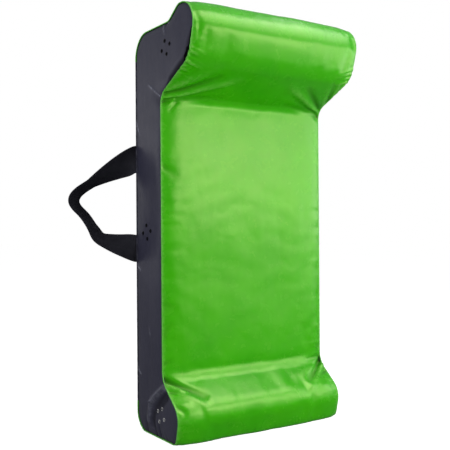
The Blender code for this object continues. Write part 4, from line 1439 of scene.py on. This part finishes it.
def make_teeth(side, word, metal):
    """A row of moulded teeth with wide heads, half a pitch higher on the right."""
    low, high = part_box("zip_teeth_" + word)
    inner = min(abs(low.x), abs(high.x))
    outer = max(abs(low.x), abs(high.x))
    first = low.z + TOOTH_PITCH * TOOTH_START + (0 if side < 0 else TOOTH_PITCH / 2)
    thick = (high.y - low.y) * TOOTH_THICKNESS
    work = bmesh.new()
    for k in range(int((high.z - low.z) / TOOTH_PITCH)):
        for vert in bmesh.ops.create_cube(work, size=1.0)["verts"]:
            head = vert.co.x < 0
            width = TOOTH_PITCH * (TOOTH_HEAD if head else TOOTH_FOOT)
            x = side * (inner - TOOTH_REACH if head else outer)
            y = (low.y + high.y) / 2 + vert.co.y * thick
            vert.co = Vector((x, y, first + k * TOOTH_PITCH + vert.co.z * width))
    bmesh.ops.recalc_face_normals(work, faces=work.faces)
    name = "zip_row_" + word
    item = add(name, mesh_from(work, name), metal, replaced=["zip_teeth_" + word])
    edge = item.modifiers.new("edge", "BEVEL")
    edge.width = TOOTH_EDGE
    edge.segments = 2
    edge.limit_method = "ANGLE"


def make_zip(metal, tape):
    """Separate teeth and a cord in each tape's edge. The other zip pieces keep their CAD shapes."""
    for side, word in SIDES.items():
        make_teeth(side, word, metal)
        low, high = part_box("zip_teeth_" + word)
        x = side * (max(abs(low.x), abs(high.x)) - ZIP_CORD_INSET)
        spots = [(x, (low.y + high.y) / 2, z) for z in (low.z, high.z)]
        add_tube("zip_cord_" + word, spots, [ZIP_CORD] * 2, tape)
        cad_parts["zip_tape_" + word].data.materials[0] = tape
    for name in ("zip_stop_left", "zip_stop_right", "zip_end_stop", "zip_slider", "zip_pull"):
        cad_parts[name].data.materials[0] = metal


# Stage, light and camera

def camera_axes():
    """Camera directions: right, up and forward."""
    forward = Vector((math.sin(CAMERA_YAW), math.cos(CAMERA_YAW), 0))
    right = Vector((math.cos(CAMERA_YAW), -math.sin(CAMERA_YAW), 0))
    up = Vector((0, 0, 1))
    ahead = forward * math.cos(CAMERA_PITCH) + up * math.sin(CAMERA_PITCH)
    above = up * math.cos(CAMERA_PITCH) - forward * math.sin(CAMERA_PITCH)
    aside = right * math.cos(CAMERA_ROLL) + above * math.sin(CAMERA_ROLL)
    over = above * math.cos(CAMERA_ROLL) - right * math.sin(CAMERA_ROLL)
    return aside, over, ahead


def make_camera():
    lens = bpy.data.cameras.new("camera")
    lens.sensor_width = SENSOR
    lens.lens = FOCAL_PIXELS * SENSOR / IMAGE_PIXELS
    item = bpy.data.objects.new("camera", lens)
    aside, over, ahead = camera_axes()
    turn = Matrix((aside, over, -ahead)).transposed().to_4x4()
    item.matrix_world = Matrix.Translation(CAMERA_PLACE) @ turn
    bpy.context.scene.collection.objects.link(item)
    bpy.context.scene.camera = item


def ray_kinds(tree):
    """1 for camera rays, and 1 for the glossy and transmission rays that show the same background."""
    path = put(tree, "ShaderNodeLightPath")
    mirrored = maths(tree, "MAXIMUM", path.outputs["Is Glossy Ray"], path.outputs["Is Transmission Ray"])
    return path.outputs["Is Camera Ray"], mirrored


def make_world(ambient, mirrored_level):
    world = bpy.data.worlds.new("studio")
    bpy.context.scene.world = world
    world.use_nodes = True
    tree = world.node_tree
    camera, mirrored = ray_kinds(tree)
    strength = maths(tree, "MAXIMUM", ambient, camera)
    strength = maths(tree, "MAXIMUM", strength, maths(tree, "MULTIPLY", mirrored, mirrored_level))
    background = tree.nodes["Background"]
    background.inputs["Color"].default_value = (1, 1, 1, 1)
    tree.links.new(strength, background.inputs["Strength"])


def make_floor(glow, seen_shade, albedo, mirrored_level):
    """A white floor: bright by itself where it is seen, and darker only in the object's shadow."""
    surface = bpy.data.materials.new("floor_paper")
    surface.use_nodes = True
    tree = surface.node_tree
    tree.nodes.clear()
    camera, mirrored = ray_kinds(tree)
    unseen = maths(tree, "SUBTRACT", 1.0, mirrored)
    shade = maths(tree, "MULTIPLY", ramp(tree, camera, albedo, seen_shade), unseen)
    diffuse = put(tree, "ShaderNodeBsdfDiffuse", Color=shade)
    glowing = maths(tree, "MULTIPLY", camera, glow)
    glowing = maths(tree, "ADD", glowing, maths(tree, "MULTIPLY", mirrored, mirrored_level))
    both = put(tree, "ShaderNodeAddShader")
    for socket, part in zip(both.inputs, (diffuse, put(tree, "ShaderNodeEmission", Strength=glowing))):
        tree.links.new(part.outputs[0], socket)
    put(tree, "ShaderNodeOutputMaterial", Surface=both.outputs[0])
    work = bmesh.new()
    bmesh.ops.create_circle(work, cap_ends=True, segments=64, radius=20)
    mesh = mesh_from(work, "floor")
    mesh.materials.append(surface)
    item = bpy.data.objects.new("floor", mesh)
    bpy.context.scene.collection.objects.link(item)


def make_softbox(name, place, target, size, radiance, shines, spread=180):
    """An even lamp of the given size, seen only in gloss if it shines, and only as light if not."""
    lamp = bpy.data.lights.new(name, "AREA")
    lamp.shape = "RECTANGLE"
    lamp.size, lamp.size_y = size
    lamp.energy = radiance * math.pi * size[0] * size[1]
    lamp.spread = math.radians(spread)
    item = bpy.data.objects.new(name, lamp)
    towards = (Vector(target) - Vector(place)).normalized()
    item.matrix_world = Matrix.Translation(place) @ towards.to_track_quat("-Z", "Y").to_matrix().to_4x4()
    item.visible_camera = False
    item.visible_diffuse = not shines
    item.visible_glossy = shines
    bpy.context.scene.collection.objects.link(item)


def around(azimuth, distance, height):
    """A place round the object. Azimuth 0 is straight in front and grows to the object's +X side."""
    turn = math.radians(azimuth)
    return (distance * math.sin(turn), -distance * math.cos(turn), height)


def make_lights():
    """Soft lamps that light the object, and softboxes that only its gloss shows."""
    make_softbox("softbox_side", around(34, 2.0, 0.82), (0, 0, 0.82), (2.0, 0.92), 5.3, shines=False)
    make_softbox("softbox_top", (0.1, -0.1, 2.4), (0.1, -0.1, 0), (1.7, 1.7), 2.5, shines=False)
    make_softbox("fill_left", around(-76, 1.8, 0.80), (0, 0, 0.75), (1.4, 0.9), 3.0, shines=False)
    make_softbox("gloss_left", around(-130, 1.9, 0.85), (0, 0, 0.85), (1.4, 0.9), 0.85, shines=True)
    make_softbox("gloss_top", (0.0, -0.30, 2.4), (0.0, -0.30, 0), (2.2, 1.2), 3.6, shines=True)
    make_softbox("gloss_high", around(33, 1.15, 1.70), (0, 0, 0.05), (1.6, 1.2), 1.85, shines=True, spread=90)
    make_softbox("gloss_front", around(23, 1.9, 0.93), (0, 0, 0.93), (1.00, 0.56), 6.4, shines=True)
    make_softbox("gloss_side", around(58, 1.9, 0.90), (0, 0, 0.90), (1.45, 0.86), 3.9, shines=True)
    make_softbox("gloss_low", around(44, 1.9, 0.30), (0, 0, 0.30), (2.00, 0.50), 1.4, shines=True)
    make_world(ambient=0.30, mirrored_level=0.24)
    make_floor(glow=0.82, seen_shade=0.60, albedo=0.42, mirrored_level=0.17)


def main():
    bpy.context.scene.view_settings.view_transform = "Standard"
    edge, grey, zip_tape, shadow_black = green_edge_pale_and_lit(), grey_pvc(), zip_tape_finish(), shadow_strip_finish()
    nickel = metal_finish("nickel_plate", (0.70, 0.69, 0.66), (0.40, 0.38, 0.35))
    dark_metal = metal_finish("blackened_brass", (0.010, 0.010, 0.011), (0.004, 0.004, 0.004))
    # A bright copy of the blackened finish for the eyelets near the foot: painted glints.
    glint_metal = metal_finish("blackened_brass_painted_glint", (0.96, 0.96, 0.97), (0.10, 0.10, 0.11))
    webbing = webbing_finish()
    black_thread = thread_finish("thread_black", (0.012, 0.012, 0.014))
    make_foam(foam_finish())
    make_wrap(green_pvc(), edge)
    panels = {word: make_gusset(side, word, grey) for side, word in SIDES.items()}
    for side, word in SIDES.items():
        make_chin_shadow_strip(side, word, shadow_black)
    make_vents(panels, dark_metal, glint_metal, zip_tape)
    make_back(grey)
    make_back_seams(edge, grey)
    make_back_stitching(
        thread_finish("thread_green", (0.10, 0.42, 0.05)), thread_finish("thread_grey", (0.03, 0.03, 0.04)),
    )
    for side, word in SIDES.items():
        make_strap(side, word, webbing)
        make_strap_stitches(side, word, black_thread)
    make_zip(nickel, zip_tape)
    make_camera()
    make_lights()


main()
